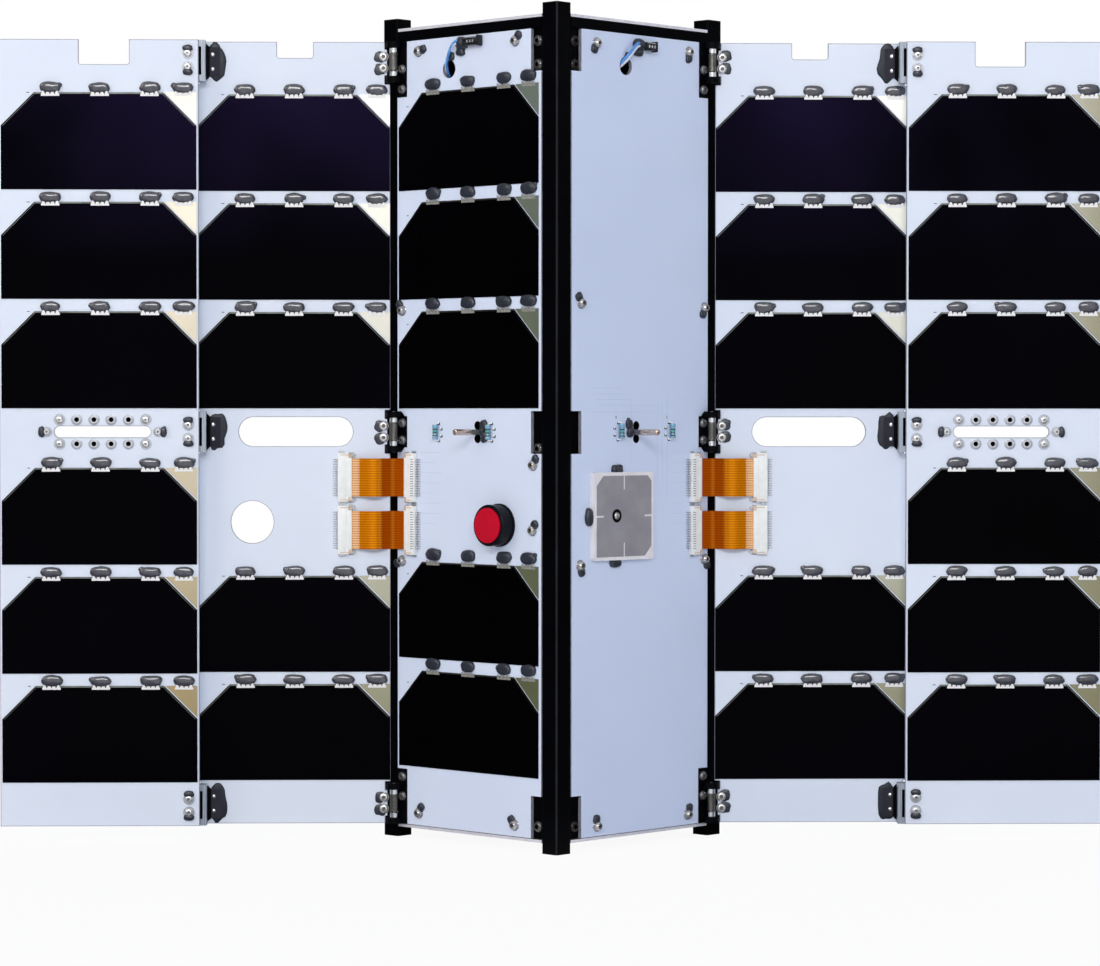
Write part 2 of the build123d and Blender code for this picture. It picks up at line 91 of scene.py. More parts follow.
# Flat cables and their sockets
CABLE_Z = (MIDDLE_Z - 19.0, MIDDLE_Z - 40.9)
CABLE_WIDE = 15.8
CABLE_THICK = 0.2
SOCKET_HIGH = 20.2
SOCKET_WIDE = 6.0
SOCKET_RISE = 2.2
PIN_PITCH = 1.0
PIN_COUNT = 16
FACE_SOCKET_S = 17.2
PANEL_SOCKET_X = ROOT_X + 20.3


def middle_x(name):
    """The x of the middle of a carried-over piece."""
    low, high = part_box(name)
    return (low.x + high.x) / 2 / MM


# The middle of the cells, the front face and the rows of cells of each panel of a wing
PANELS = {"inner": (middle_x("inner_cells_right"), INNER_FRONT, FIVE_ROWS),
          "outer": (middle_x("outer_cells_right"), OUTER_FRONT, range(6))}


# Places: every small piece is made in millimetres with x to the right as seen, y up and z outwards

def place_of(origin, right, outwards):
    """The matrix that takes a piece from its own millimetres to metres in the frame."""
    up = Vector((0, 0, 1)) if abs(outwards[2]) < 0.5 else Vector((0, 1, 0))
    turn = Matrix((Vector(right), up, Vector(outwards))).transposed().to_4x4()
    return Matrix.Translation(Vector(origin) * MM) @ turn @ Matrix.Scale(MM, 4)


def on_front(side, s, z, h=0.0, depth=-1):
    """A place on a front face, or a rear one where depth is 1: s from the side rail, z up, h off the board."""
    hand = SIDES[side]
    origin = (hand * (HALF_DIAGONAL - (s - h) * ROOT_HALF), depth * (s + h) * ROOT_HALF, z)
    return place_of(origin, (-depth * ROOT_HALF, hand * ROOT_HALF, 0), (hand * ROOT_HALF, depth * ROOT_HALF, 0))


def on_rear(side, s, z, h=0.0):
    """The same place on the rear face of that side."""
    return on_front(side, s, z, h, 1)


def on_wing(x, z, y):
    """A place on the front of a wing, whose face is at y."""
    return place_of((x, y, z), (1, 0, 0), (0, -1, 0))


def behind_wing(x, z, front, leaf=0.0):
    """A place on the back of a wing whose front face is at that y, or on a leaf of some thickness there."""
    return place_of((x, front + BOARD_THICK + leaf, z), (-1, 0, 0), (0, 1, 0))


def on_pin(hand, z):
    """A place on the root hinge's axis, for a turned shape."""
    return on_wing(hand * ROOT_X, z, ROOT_Y) @ tipped(-90)


def spun(angle):
    return Matrix.Rotation(math.radians(angle), 4, "Z")


def tipped(angle):
    return Matrix.Rotation(math.radians(angle), 4, "X")


def shifted(x, y, z=0.0):
    return Matrix.Translation((x, y, z))


# Materials

def linear(code):
    """An sRGB hex colour as linear values."""
    parts = [int(code[at:at + 2], 16) / 255 for at in (1, 3, 5)]
    return (*[part / 12.92 if part <= 0.04045 else ((part + 0.055) / 1.055) ** 2.4 for part in parts], 1.0)


def add(tree, kind, inputs, **settings):
    """Adds one node with its settings, and sets or links its inputs. A hex code becomes a linear colour."""
    node = tree.nodes.new("ShaderNode" + kind)
    for key, value in settings.items():
        setattr(node, key, value)
    for key, value in inputs.items():
        if isinstance(value, bpy.types.NodeSocket):
            tree.links.new(value, node.inputs[key])
        else:
            node.inputs[key].default_value = linear(value) if isinstance(value, str) else value
    return node


def base(name, colour, roughness, metallic=0.0, **constants):
    """A material with its shader set to typical values for the finish."""
    material = bpy.data.materials.new(name)
    material.use_nodes = True
    tree = material.node_tree
    shader = tree.nodes["Principled BSDF"]
    shader.inputs["Base Color"].default_value = linear(colour)
    shader.inputs["Roughness"].default_value = roughness
    shader.inputs["Metallic"].default_value = metallic
    for key, value in constants.items():
        shader.inputs[key.replace("_", " ")].default_value = value
    return material, tree, shader


def feed(tree, shader, **sources):
    """Links each source to the shader's socket of that name."""
    for key, source in sources.items():
        tree.links.new(source, shader.inputs[key.replace("_", " ")])


def axes(tree):
    """The X, Y and Z of Object coordinates, in metres."""
    return add(tree, "SeparateXYZ", {"Vector": add(tree, "TexCoord", {}).outputs["Object"]}).outputs


def grain(tree, size_mm, detail=2.0, stretch=(1, 1, 1)):
    """Noise whose blotches are about size_mm across, stretched where it is drawn out along one way."""
    place = add(tree, "TexCoord", {}).outputs["Object"]
    place = add(tree, "Mapping", {"Vector": place, "Scale": stretch}).outputs["Vector"]
    noise = add(tree, "TexNoise", {"Vector": place, "Scale": 1 / (size_mm * MM), "Detail": detail})
    return noise.outputs["Fac"]


def cloud(tree, size_mm, detail=2.0, stretch=(1, 1, 1), low=0.0, high=1.0):
    """The same noise spread out to fill the range from low to high."""
    inputs = {"Value": grain(tree, size_mm, detail, stretch), "From Min": 0.3, "From Max": 0.7,
              "To Min": low, "To Max": high}
    return add(tree, "MapRange", inputs).outputs["Result"]


def relief(tree, shader, height, depth_mm):
    """A fine relief of that depth."""
    bump = add(tree, "Bump", {"Height": height, "Distance": depth_mm * MM})
    feed(tree, shader, Normal=bump.outputs["Normal"])


def uneven(name, colours, roughness, size_mm, depth_mm=0.0, metallic=0.0, stretch=(1, 1, 1), **constants):
    """A finish that wanders between two colours and two roughnesses, with a fine relief."""
    material, tree, shader = base(name, colours[0], roughness[0], metallic, **constants)
    share = cloud(tree, size_mm, 3.0, stretch)
    tone = add(tree, "Mix", {0: share, 6: colours[0], 7: colours[1]}, data_type="RGBA").outputs[2]
    low, high = roughness
    rough = add(tree, "MapRange", {"Value": share, "To Min": low, "To Max": high}).outputs["Result"]
    feed(tree, shader, Base_Color=tone, Roughness=rough)
    if depth_mm:
        relief(tree, shader, grain(tree, size_mm / 4, 2.0, stretch), depth_mm)
    return material


def solder_mask(name, facing, colours):
    """White solder mask on glass-epoxy laminate: satin on the faces, bare resin and glass on the cut edges."""
    material, tree, shader = base(name, "#D9E3F4", 0.42, Specular_IOR_Level=0.3)
    normal = add(tree, "TexCoord", {}).outputs["Normal"]
    across = add(tree, "VectorMath", {0: normal, 1: facing}, operation="DOT_PRODUCT").outputs["Value"]
    size = add(tree, "Math", {0: across}, operation="ABSOLUTE").outputs[0]
    edge = add(tree, "Math", {0: size, 1: 0.5}, operation="LESS_THAN").outputs[0]
    mask = add(tree, "Mix", {0: cloud(tree, 70.0), 6: colours[0], 7: colours[1]}, data_type="RGBA").outputs[2]
    streaks = cloud(tree, 0.5, 1.0, (1, 1, 0.2))
    glass = add(tree, "Mix", {0: streaks, 6: "#A3A3AC", 7: "#7F8089"}, data_type="RGBA").outputs[2]
    tone = add(tree, "Mix", {0: edge, 6: mask, 7: glass}, data_type="RGBA").outputs[2]
    feed(tree, shader, Base_Color=tone, Roughness=cloud(tree, 9.0, low=0.36, high=0.5))
    # The mask dries with a slight orange peel about 0.8 mm across.
    relief(tree, shader, grain(tree, 0.8, 1.0), 0.012)
    return material


def anodised(name, light, dark, lines):
    """Black anodised aluminium: a hard dye-black oxide with faint drawn lines along the part."""
    material, tree, shader = base(name, dark, 0.4, Specular_IOR_Level=0.03)
    tone = add(tree, "Mix", {0: cloud(tree, 14.0, 3.0), 6: dark, 7: light}, data_type="RGBA").outputs[2]
    # Die lines are finer than the render shows, so they are drawn 0.3 mm apart.
    feed(tree, shader, Base_Color=tone, Roughness=cloud(tree, 0.3, 2.0, lines, 0.34, 0.52))
    relief(tree, shader, grain(tree, 0.3, 2.0, lines), 0.004)
    return material


def cell_glass(name, sheen_low_tone, sheen_high_tone):
    """Triple-junction cell under coated cover glass: near black, with a painted violet sheen higher up and
    fine fingers."""
    material, tree, shader = base(name, "#050407", 0.1, Specular_IOR_Level=0.012)
    along = axes(tree)
    # The violet tone near the top, fading outwards, is a painted sheen.
    near_top = add(tree, "MapRange", {"Value": along["Z"], "From Min": 0.24,
                                      "From Max": 0.31}).outputs["Result"]
    fading = add(tree, "MapRange", {"Value": along["X"], "From Min": 0.13, "From Max": 0.2, "To Min": 1.0,
                                    "To Max": 0.1}).outputs["Result"]
    share = add(tree, "Math", {0: near_top, 1: fading}, operation="MULTIPLY").outputs[0]
    painted_sheen = add(tree, "Mix", {0: share, 6: sheen_low_tone, 7: sheen_high_tone}, data_type="RGBA").outputs[2]
    dark = add(tree, "Mix", {0: cloud(tree, 90.0), 6: "#010102", 7: painted_sheen}, data_type="RGBA").outputs[2]
    # Grid fingers only just show against the cell. A wave goes through 20 radians in a unit, so they are
    # 0.75 mm apart.
    inputs = {"Vector": add(tree, "TexCoord", {}).outputs["Object"], "Scale": 1 / (2.4 * MM)}
    wave = add(tree, "TexWave", inputs, bands_direction="Z", wave_profile="SIN").outputs["Fac"]
    line = add(tree, "Math", {0: wave, 1: 0.97}, operation="GREATER_THAN").outputs[0]
    tone = add(tree, "Mix", {0: line, 6: dark, 7: "#08070A"}, data_type="RGBA").outputs[2]
    feed(tree, shader, Base_Color=tone, Roughness=cloud(tree, 25.0, low=0.07, high=0.16))
    return material


def polyimide():
    """Polyimide flat cable: amber film over sixteen copper conductors at 1 mm pitch, redder at the bus end
    with painted shade, bare and tinned at the panel end."""
    material, tree, shader = base("polyimide flat cable", "#D87400", 0.14, Specular_IOR_Level=1.0,
                                  Specular_Tint=linear("#FFB648"))
    along = axes(tree)
    turn = 2 * math.pi / (PIN_PITCH * MM)
    turns = add(tree, "Math", {0: along["Z"], 1: turn}, operation="MULTIPLY").outputs[0]
    wave = add(tree, "Math", {0: turns}, operation="COSINE").outputs[0]
    strip = add(tree, "MapRange", {"Value": wave, "From Min": -0.1, "From Max": 0.7}).outputs["Result"]
    wide = add(tree, "MapRange", {"Value": wave, "From Min": -0.8, "From Max": -0.3}).outputs["Result"]
    # The painted shade ends 5 mm outside the root hinge, and the bare end starts by the panel's socket.
    reach = add(tree, "Math", {0: along["X"]}, operation="ABSOLUTE").outputs[0]
    unshaded_share = add(tree, "MapRange", {"Value": reach, "From Min": 71.2 * MM,
                                    "From Max": 72.0 * MM}).outputs["Result"]
    bare = add(tree, "MapRange", {"Value": reach, "From Min": 80.3 * MM,
                                  "From Max": 80.6 * MM}).outputs["Result"]
    painted_shade_film = add(tree, "Mix", {0: strip, 6: "#9A4200", 7: "#C56306"}, data_type="RGBA").outputs[2]
    amber = add(tree, "Mix", {0: strip, 6: "#BC5E00", 7: "#F29A0A"}, data_type="RGBA").outputs[2]
    film = add(tree, "Mix", {0: unshaded_share, 6: painted_shade_film, 7: amber}, data_type="RGBA").outputs[2]
    tinned = add(tree, "Mix", {0: wide, 6: "#B0651E", 7: "#FFCFA0"}, data_type="RGBA").outputs[2]
    tone = add(tree, "Mix", {0: bare, 6: film, 7: tinned}, data_type="RGBA").outputs[2]
    metal = add(tree, "MapRange", {"Value": strip, "To Max": 0.3}).outputs["Result"]
    feed(tree, shader, Base_Color=tone, Metallic=metal)
    return material


def gold():
    """Gold-plated bypass diode: a mirror-like film with a painted reflection, pale higher up, where it faces
    the lamps, and khaki lower and outwards."""
    material, tree, shader = base("gold-plated diode, painted reflection", "#EAD9AE", 0.35, 0.25)
    # The painted reflection turns with the height, over the ends of the wings, and on the bus, the 40 mm to
    # each side, where it is darker.
    along = axes(tree)
    height = add(tree, "MapRange", {"Value": along["Z"], "From Min": 0.05, "From Max": 0.3}).outputs["Result"]
    away = add(tree, "MapRange", {"Value": along["X"], "From Min": 0.16, "From Max": 0.24}).outputs["Result"]
    inwards = add(tree, "MapRange", {"Value": along["X"], "From Min": -0.17,
                                     "From Max": -0.12}).outputs["Result"]
    reach = add(tree, "Math", {0: along["X"]}, operation="ABSOLUTE").outputs[0]
    on_bus = add(tree, "Math", {0: reach, 1: 0.04}, operation="LESS_THAN").outputs[0]
    tan = add(tree, "Mix", {0: height, 6: "#AA8E58", 7: "#F8EBD0"}, data_type="RGBA").outputs[2]
    grey = add(tree, "Mix", {0: height, 6: "#949274", 7: "#FBF8EC"}, data_type="RGBA").outputs[2]
    bus = add(tree, "Mix", {0: height, 6: "#666A46", 7: "#727D70"}, data_type="RGBA").outputs[2]
    film = add(tree, "Mix", {0: inwards, 6: tan, 7: grey}, data_type="RGBA").outputs[2]
    film = add(tree, "Mix", {0: away, 6: film, 7: "#84805F"}, data_type="RGBA").outputs[2]
    film = add(tree, "Mix", {0: on_bus, 6: film, 7: bus}, data_type="RGBA").outputs[2]
    feed(tree, shader, Base_Color=film, Roughness=cloud(tree, 9.0, low=0.28, high=0.45))
    return material


def banded_resistor():
    """Metal-film resistor: glossy pale teal lacquer with colour bands along its length."""
    material, tree, shader = base("resistor lacquer", "#6FA9B4", 0.25, Coat_Weight=0.4)
    reach = {"From Min": (MIDDLE_Z - 3.0) * MM, "From Max": (MIDDLE_Z + 3.0) * MM}
    along = add(tree, "MapRange", {"Value": axes(tree)["Z"], **reach}).outputs["Result"]
    ramp = add(tree, "ValToRGB", {"Fac": along})
    bands = ramp.color_ramp
    bands.interpolation = "CONSTANT"
    bands.elements[0].color = linear("#7FA9C6")
    bands.elements[1].position = 0.2
    bands.elements[1].color = linear("#2C3554")
    for at, code in ((0.29, "#5FA7B0"), (0.4, "#1F3F58"), (0.49, "#4FA09F"), (0.64, "#2A3850"),
                     (0.73, "#7BACC8")):
        bands.elements.new(at).color = linear(code)
    feed(tree, shader, Base_Color=ramp.outputs["Color"])
    return material


# Laminate, anodised and milled aluminium
# The bus faces take darker, bluer copies of the wings' mask, front right and rear left the darkest: painted
# shade.
BOARD_WING = solder_mask("white solder mask, wings", (0, 1, 0), ("#E3EAF6", "#DEE5F2"))
BOARD_LEFT_SHADED = solder_mask("white solder mask, front left and rear right", (ROOT_HALF, ROOT_HALF, 0),
                         ("#DCE5F7", "#D7E0F3"))
BOARD_RIGHT_SHADED = solder_mask("white solder mask, front right and rear left", (ROOT_HALF, -ROOT_HALF, 0),
                          ("#D5E0F7", "#D0DBF3"))
RAIL_BLACK = anodised("black anodised rail", "#030407", "#010103", (1, 1, 0.01))
# A lighter copy for the rails' rounded outer edges: a painted highlight.
RAIL_EDGE_HIGHLIGHT = anodised("black anodised edge, painted highlight", "#2A2930", "#1F1E24", (1, 1, 0.01))
FRAME_BLACK = anodised("black anodised frame", "#030408", "#010103", (0.05, 0.05, 1))
HINGE_BLACK = anodised("black anodised hinge leaf", "#0A0B10", "#050509", (1, 1, 1))
BRACKET = anodised("worn black hinge bracket", "#3A3841", "#2F2E37", (1, 1, 1))
MILLED = uneven("milled aluminium", ("#B4B4B8", "#A3A3A8"), (0.38, 0.5), 3.0, 0.004, 0.6, (1, 6, 1))
MILLED_EDGE = uneven("milled aluminium, bright edge", ("#F0EEF6", "#DEDCE6"), (0.34, 0.48), 3.0, 0.004, 0.3)

# Cells: dark coated glass, a silver contact strip round it, gold-plated diodes and pale tinned tabs
# The wings' glass carries a painted violet sheen near the top; the face's glass hardly any.
GLASS = cell_glass("coated cell glass, wings, painted sheen", "#040308", "#201836")
GLASS_FACE = cell_glass("coated cell glass, face", "#020203", "#030205")
EDGE_GLASS = uneven("silver contact strip of a cell", ("#7C8480", "#5C5F54"), (0.3, 0.45), 6.0, 0.002, 0.3)
# The face's contact strip is a darker copy of the wings': painted shade.
EDGE_SHADED = uneven("contact strip, painted shade", ("#1F1F1A", "#131310"), (0.3, 0.45), 6.0)
GOLD = gold()
TIN = uneven("tinned interconnect", ("#FFFEFE", "#FCF7F5"), (0.3, 0.45), 0.9, 0.006, Specular_IOR_Level=0.9)
# The face's tabs take a darker copy of the tin: painted shade.
TIN_SHADED = uneven("tinned interconnect, painted shade", ("#B9B7AE", "#93918A"), (0.35, 0.5), 0.9, 0.01, 0.3)

# Cured epoxy has a wet gloss where it is thick, and is duller where it lies thin under a part; the bed under
# the brackets is darker as well, which is painted shade.
EPOXY = uneven("grey staking epoxy", ("#303542", "#22262F"), (0.26, 0.38), 2.0, 0.012)
EPOXY_BED_SHADED = uneven("epoxy bed, painted shade", ("#272D37", "#1B2029"), (0.35, 0.5), 2.0, 0.02, Specular_IOR_Level=0.3)
EPOXY_GLOSSY = uneven("grey staking epoxy, glossy", ("#42434F", "#2B2C36"), (0.11, 0.17), 2.0, 0.0,
                      Specular_IOR_Level=1.0)

# Steel and nickel: turned and plated metal with clear reflections, duller on plain washers; sockets, leaf
# screws and the right face's tab screws take darker copies, which are painted shade
STEEL = uneven("stainless screw", ("#C4C3C3", "#919092"), (0.16, 0.28), 0.8, 0.006, 0.7)
# The socket finish is a darker copy of the steel for the shade inside the socket: painted shade.
STEEL_SOCKET_SHADE = uneven("stainless screw socket, painted shade", ("#7D736C", "#564E49"), (0.3, 0.45), 0.8, 0.006)
NICKEL = uneven("nickel-plated screw", ("#EDEDEC", "#D2D3D6"), (0.24, 0.36), 0.8, 0.006, 0.8)
NICKEL_SHADE = uneven("nickel-plated socket", ("#A9A7A9", "#807F84"), (0.24, 0.36), 0.8, 0.006, 0.6)
WASHER = uneven("plain steel washer", ("#C0C3CB", "#A4A7B0"), (0.3, 0.42), 0.8, 0.004, 0.5)
EYELET_TIN = uneven("rolled tin eyelet", ("#E9EAEE", "#BDBFC6"), (0.3, 0.42), 0.9, 0.006, 0.6)
BLACK_STEEL = uneven("black-oxide screw", ("#6E6E6E", "#3C3C3E"), (0.16, 0.26), 0.8, 0.006, 0.7)
# A darker copy of the black-oxide screw for the right face: painted shade.
BROWN_STEEL = uneven("black-oxide screw, shaded", ("#2A2321", "#161211"), (0.25, 0.4), 0.8, 0.006, 0.5)
# A darker copy of the steel for the screws in the hinge leaves: painted shade.
LEAF_STEEL_SHADED = uneven("steel screw, painted shade", ("#868688", "#505053"), (0.18, 0.3), 0.8, 0.006, 0.7)
BRIGHT = uneven("bright nickel-plated hinge leaf", ("#EDEFF1", "#D0D3D7"), (0.16, 0.28), 1.5, 0.004, 1.0,
                (1, 1, 0.2))
# The leaf is brushed along its length, in lines about 0.25 mm apart.
BRUSHED = uneven("brushed nickel hinge leaf", ("#B4BCC8", "#838C99"), (0.35, 0.5), 1.5, 0.004, 0.3, (6, 6, 0.1))
SPRING = uneven("music-wire torsion spring", ("#9C9B97", "#6C6A67"), (0.26, 0.38), 0.6, 0.004, 0.9)
STUD = uneven("turned steel stud", ("#E2CDBF", "#BBA699"), (0.16, 0.24), 1.5, 0.002, 0.8)
STUD_FOOT = uneven("blued steel stud foot", ("#8E8C90", "#6A696F"), (0.26, 0.36), 1.5, 0.002, 0.4)

# Nylon lets a little light in and has a soft gloss, and its contacts are tinned metal.
SOCKET = uneven("white nylon socket", ("#FBFAF6", "#F2F1EC"), (0.4, 0.52), 3.0, 0.01, Subsurface_Weight=0.05)
LATCH = uneven("beige nylon latch", ("#E2C9B4", "#CDB09A"), (0.4, 0.5), 2.0, 0.01)
PINS = uneven("tinned contact", ("#DFE0E4", "#A2A3AA"), (0.22, 0.36), 0.5, 0.004, 0.8)
# Painted shade for the slots over the contacts.
SLOT_SHADE = uneven("shaded slot between contacts", ("#9A9DA6", "#797C86"), (0.6, 0.7), 0.6)
CABLE = polyimide()

# The antenna: a satin glaze under a grainy fired silver film
CERAMIC = uneven("glazed patch ceramic", ("#F2EEEF", "#E4DFE2"), (0.35, 0.5), 6.0, 0.008)
PATCH = uneven("fired silver patch", ("#A6A3AA", "#97949B"), (0.42, 0.55), 12.0, 0.006, 0.25)

# Moulded, enamelled and insulated pieces, with a soft sheen and an even colour
CAP = uneven("moulded black nylon cap", ("#0E1119", "#07080E"), (0.3, 0.45), 2.0, 0.01, Specular_IOR_Level=0.12)
CAP_RED = uneven("red enamel disc", ("#CC0A2C", "#BC0726"), (0.3, 0.4), 6.0, 0.008, Specular_IOR_Level=0.12)
SEAL = uneven("black sealing ring", ("#050506", "#020203"), (0.4, 0.5), 1.0, Specular_IOR_Level=0.1)
WIRE_BLUE = uneven("blue wire insulation", ("#62A6EC", "#3C82D4"), (0.3, 0.4), 2.0, 0.004)
WIRE_WHITE = uneven("white wire insulation", ("#E4E8F2", "#CDD2DE"), (0.3, 0.4), 2.0, 0.004)
PLUG = uneven("dark nylon plug", ("#14161C", "#0A0B10"), (0.25, 0.4), 1.5, 0.01, Specular_IOR_Level=0.4)
RESISTOR = banded_resistor()

# Small things on the boards
TRACE = uneven("solder mask over a copper track", ("#CED9EE", "#C8D4EA"), (0.4, 0.5), 20.0)
RIM = uneven("plated slot rim", ("#6C6E7A", "#585A66"), (0.3, 0.45), 3.0)
RESIN = uneven("bare resin along a routed edge", ("#9D9FAE", "#8B8D9C"), (0.5, 0.6), 3.0)
# The block is darkened past its own tone so it reads as the shade inside the bus: painted shade.
BLOCK = uneven("electronics block, darkened as painted shade", ("#141816", "#0C0E0D"), (0.5, 0.6), 8.0, 0.02)
MARK = uneven("grey marking ink", ("#5A6474", "#4A5364"), (0.5, 0.6), 2.0)


def dress_part(name, material, test):
    """Gives a second finish to the faces of a carried-over piece whose centres, in mm, pass a test."""
    mesh = frame["nodes"][name].data
    mesh.materials.append(material)
    for face in mesh.polygons:
        if test(face.center / MM):
            face.material_index = len(mesh.materials) - 1


def both(name):
    return [name + "_left", name + "_right"]


RAILS = ["rail_front", "rail_right", "rail_back", "rail_left"]
DRESS = [
    (RAILS, RAIL_BLACK),
    (["frame_top", "frame_middle", "frame_bottom"], FRAME_BLACK),
    (["top_plate", "bottom_plate"], MILLED),
    (["avionics_stack"], BLOCK),
    (["board_front_left", "board_back_right"], BOARD_LEFT_SHADED),
    (["board_front_right", "board_back_left"], BOARD_RIGHT_SHADED),
    (both("inner_board") + both("outer_board"), BOARD_WING),
    (both("inner_cells") + both("outer_cells"), GLASS),
    (["face_cells"], GLASS_FACE),
    (["face_diodes"] + both("inner_diodes") + both("outer_diodes"), GOLD),
    (["arming_cap"], CAP),
    (["arming_disc"], CAP_RED),
    (["antenna_ceramic"], CERAMIC),
    (["antenna_metal"], PATCH),
    (both("root_bus_leaves") + both("lace_nuts"), HINGE_BLACK),
    (both("mid_brackets"), BRACKET),
    (both("root_panel_leaves"), BRIGHT),
    (both("mid_outer_leaves"), BRUSHED),
    (both("root_pins") + both("mid_pins"), STEEL),
]
for names, material in DRESS:
    for name in names:
        slots = frame["nodes"][name].data.materials
        slots.clear()
        slots.append(material)

# The rails carry a painted highlight along their outer edges, the plates are bright round their rim, and the
# leaves behind the panels and the knuckles of the brackets are painted blacker than what shows in front, as
# shade.
for name in RAILS:
    dress_part(name, RAIL_EDGE_HIGHLIGHT, lambda at: max(abs(at.x), abs(at.y)) > HALF_DIAGONAL - 0.5)
for name in ("top_plate", "bottom_plate"):
    low, high = [corner.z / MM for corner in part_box(name)]
    dress_part(name, MILLED_EDGE, lambda at: low + 0.1 < at.z < high - 0.1 and abs(at.x) + abs(at.y) > 60)
for side in SIDES:
    # The leaf behind the panel and the bracket's strip by the knuckle are painted black: painted shade.
    dress_part("root_panel_leaves_" + side, HINGE_BLACK, lambda at: at.y > ROOT_Y + 1.4)
    dress_part("mid_brackets_" + side, HINGE_BLACK, lambda at: abs(at.x) > MID_X - 4.15)


# Making meshes

def mesh_of(shape):
    """Closes a bmesh into a mesh with its faces pointing outwards."""
    bmesh.ops.recalc_face_normals(shape, faces=shape.faces)
    mesh = bpy.data.meshes.new("master")
    shape.to_mesh(mesh)
    shape.free()
    return mesh


def merged(meshes):
    """One mesh out of several, which it uses up."""
    whole = bmesh.new()
    for mesh in meshes:
        whole.from_mesh(mesh)
        bpy.data.meshes.remove(mesh)
    return mesh_of(whole)


def assemble(name, body, finishes, stamps, smooth=40):
    """One piece out of copies of master meshes: each stamp is a mesh and its place. Edges sharper than the
    smooth angle stay sharp. A piece that spans two bodies has no one body, so it is given None."""
    whole = bmesh.new()
    for master, place in stamps:
        copy = master.copy()
        copy.transform(place)
        whole.from_mesh(copy)
        bpy.data.meshes.remove(copy)
    mesh = bpy.data.meshes.new(name)
    whole.to_mesh(mesh)
    whole.free()
    mesh.shade_smooth()
    mesh.set_sharp_from_angle(angle=math.radians(smooth))
    for material in finishes:
        mesh.materials.append(material)
    piece = bpy.data.objects.new(name, mesh)
    bpy.context.scene.collection.objects.link(piece)
    if body:
        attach(piece, body)
    return piece


def lathe(profile, steps=24, socket=None):
    """A turned shape from (radius, height) points. A ring at the socket's radius becomes a hexagon."""
    shape = bmesh.new()
    points = [shape.verts.new((radius, 0, height)) for radius, height in profile]
    edges = [shape.edges.new(pair) for pair in zip(points, points[1:])]
    bmesh.ops.spin(shape, geom=points + edges, cent=(0, 0, 0), axis=(0, 0, 1), angle=2 * math.pi,
                   steps=steps, use_merge=True)
    bmesh.ops.remove_doubles(shape, verts=shape.verts, dist=1e-4)
    if socket:
        for vert in shape.verts:
            radius = math.hypot(vert.co.x, vert.co.y)
            if abs(radius - socket) < 1e-3:
                turn = math.atan2(vert.co.y, vert.co.x) % (math.pi / 3) - math.pi / 6
                vert.co.xy *= math.cos(math.pi / 6) / math.cos(turn)
    return shape


def paint(shape, test, index=1):
    """Gives the faces that pass a test on their centre another of the piece's finishes."""
    for face in shape.faces:
        if test(face.calc_center_median()):
            face.material_index = index


def screw(radius, high, socket, washer=0.0, bottom=0.2):
    """A button-head screw with a hexagon socket, on a flat washer where one is given."""
    floor = high * bottom
    profile = [(0, floor), (socket, floor), (socket, high), (socket + (radius - socket) * 0.3, high),
               (socket + (radius - socket) * 0.75, high * 0.72), (radius, high * 0.3)]
    if washer:
        profile += [(radius, 0.3), (washer - 0.1, 0.3), (washer, 0.2), (washer, 0), (0, 0)]
    else:
        profile += [(radius, 0), (0, 0)]
    shape = lathe(profile, 24, socket)
    # The socket's faces take the second finish, a darker copy: painted shade inside the socket.
    paint(shape, lambda at: math.hypot(at.x, at.y) < socket * 0.98 and at.z > 0.01)
    paint(shape, lambda at: math.hypot(at.x, at.y) > radius * 1.01, 2)
    return mesh_of(shape)


def dome(radius, high, steps=12):
    """A low rounded head, for rivets, solder and screw tails."""
    return mesh_of(lathe([(0, high), (radius * 0.5, high * 0.88), (radius * 0.86, high * 0.5), (radius, 0),
                          (0, 0)], steps))


def ring(inner, outer, high):
    """A flat ring with a rounded inner and outer edge."""
    step = (outer - inner) * 0.22
    return mesh_of(lathe([(inner, 0), (inner, high * 0.6), (inner + step, high), (outer - step, high),
                          (outer, high * 0.5), (outer, 0), (inner, 0)]))


def block(x, y, z, bevel=0.0, segments=2):
    """A block between two corners, with its edges rounded."""
    shape = bmesh.new()
    size = [abs(high - low) for low, high in (x, y, z)]
    centre = [(low + high) / 2 for low, high in (x, y, z)]
    place = Matrix.Translation(centre) @ Matrix.Diagonal((*size, 1))
    bmesh.ops.create_cube(shape, size=1, matrix=place)
    if bevel:
        bmesh.ops.bevel(shape, geom=shape.edges, offset=bevel, segments=segments, profile=0.5,
                        affect="EDGES", material=-1)
    return mesh_of(shape)


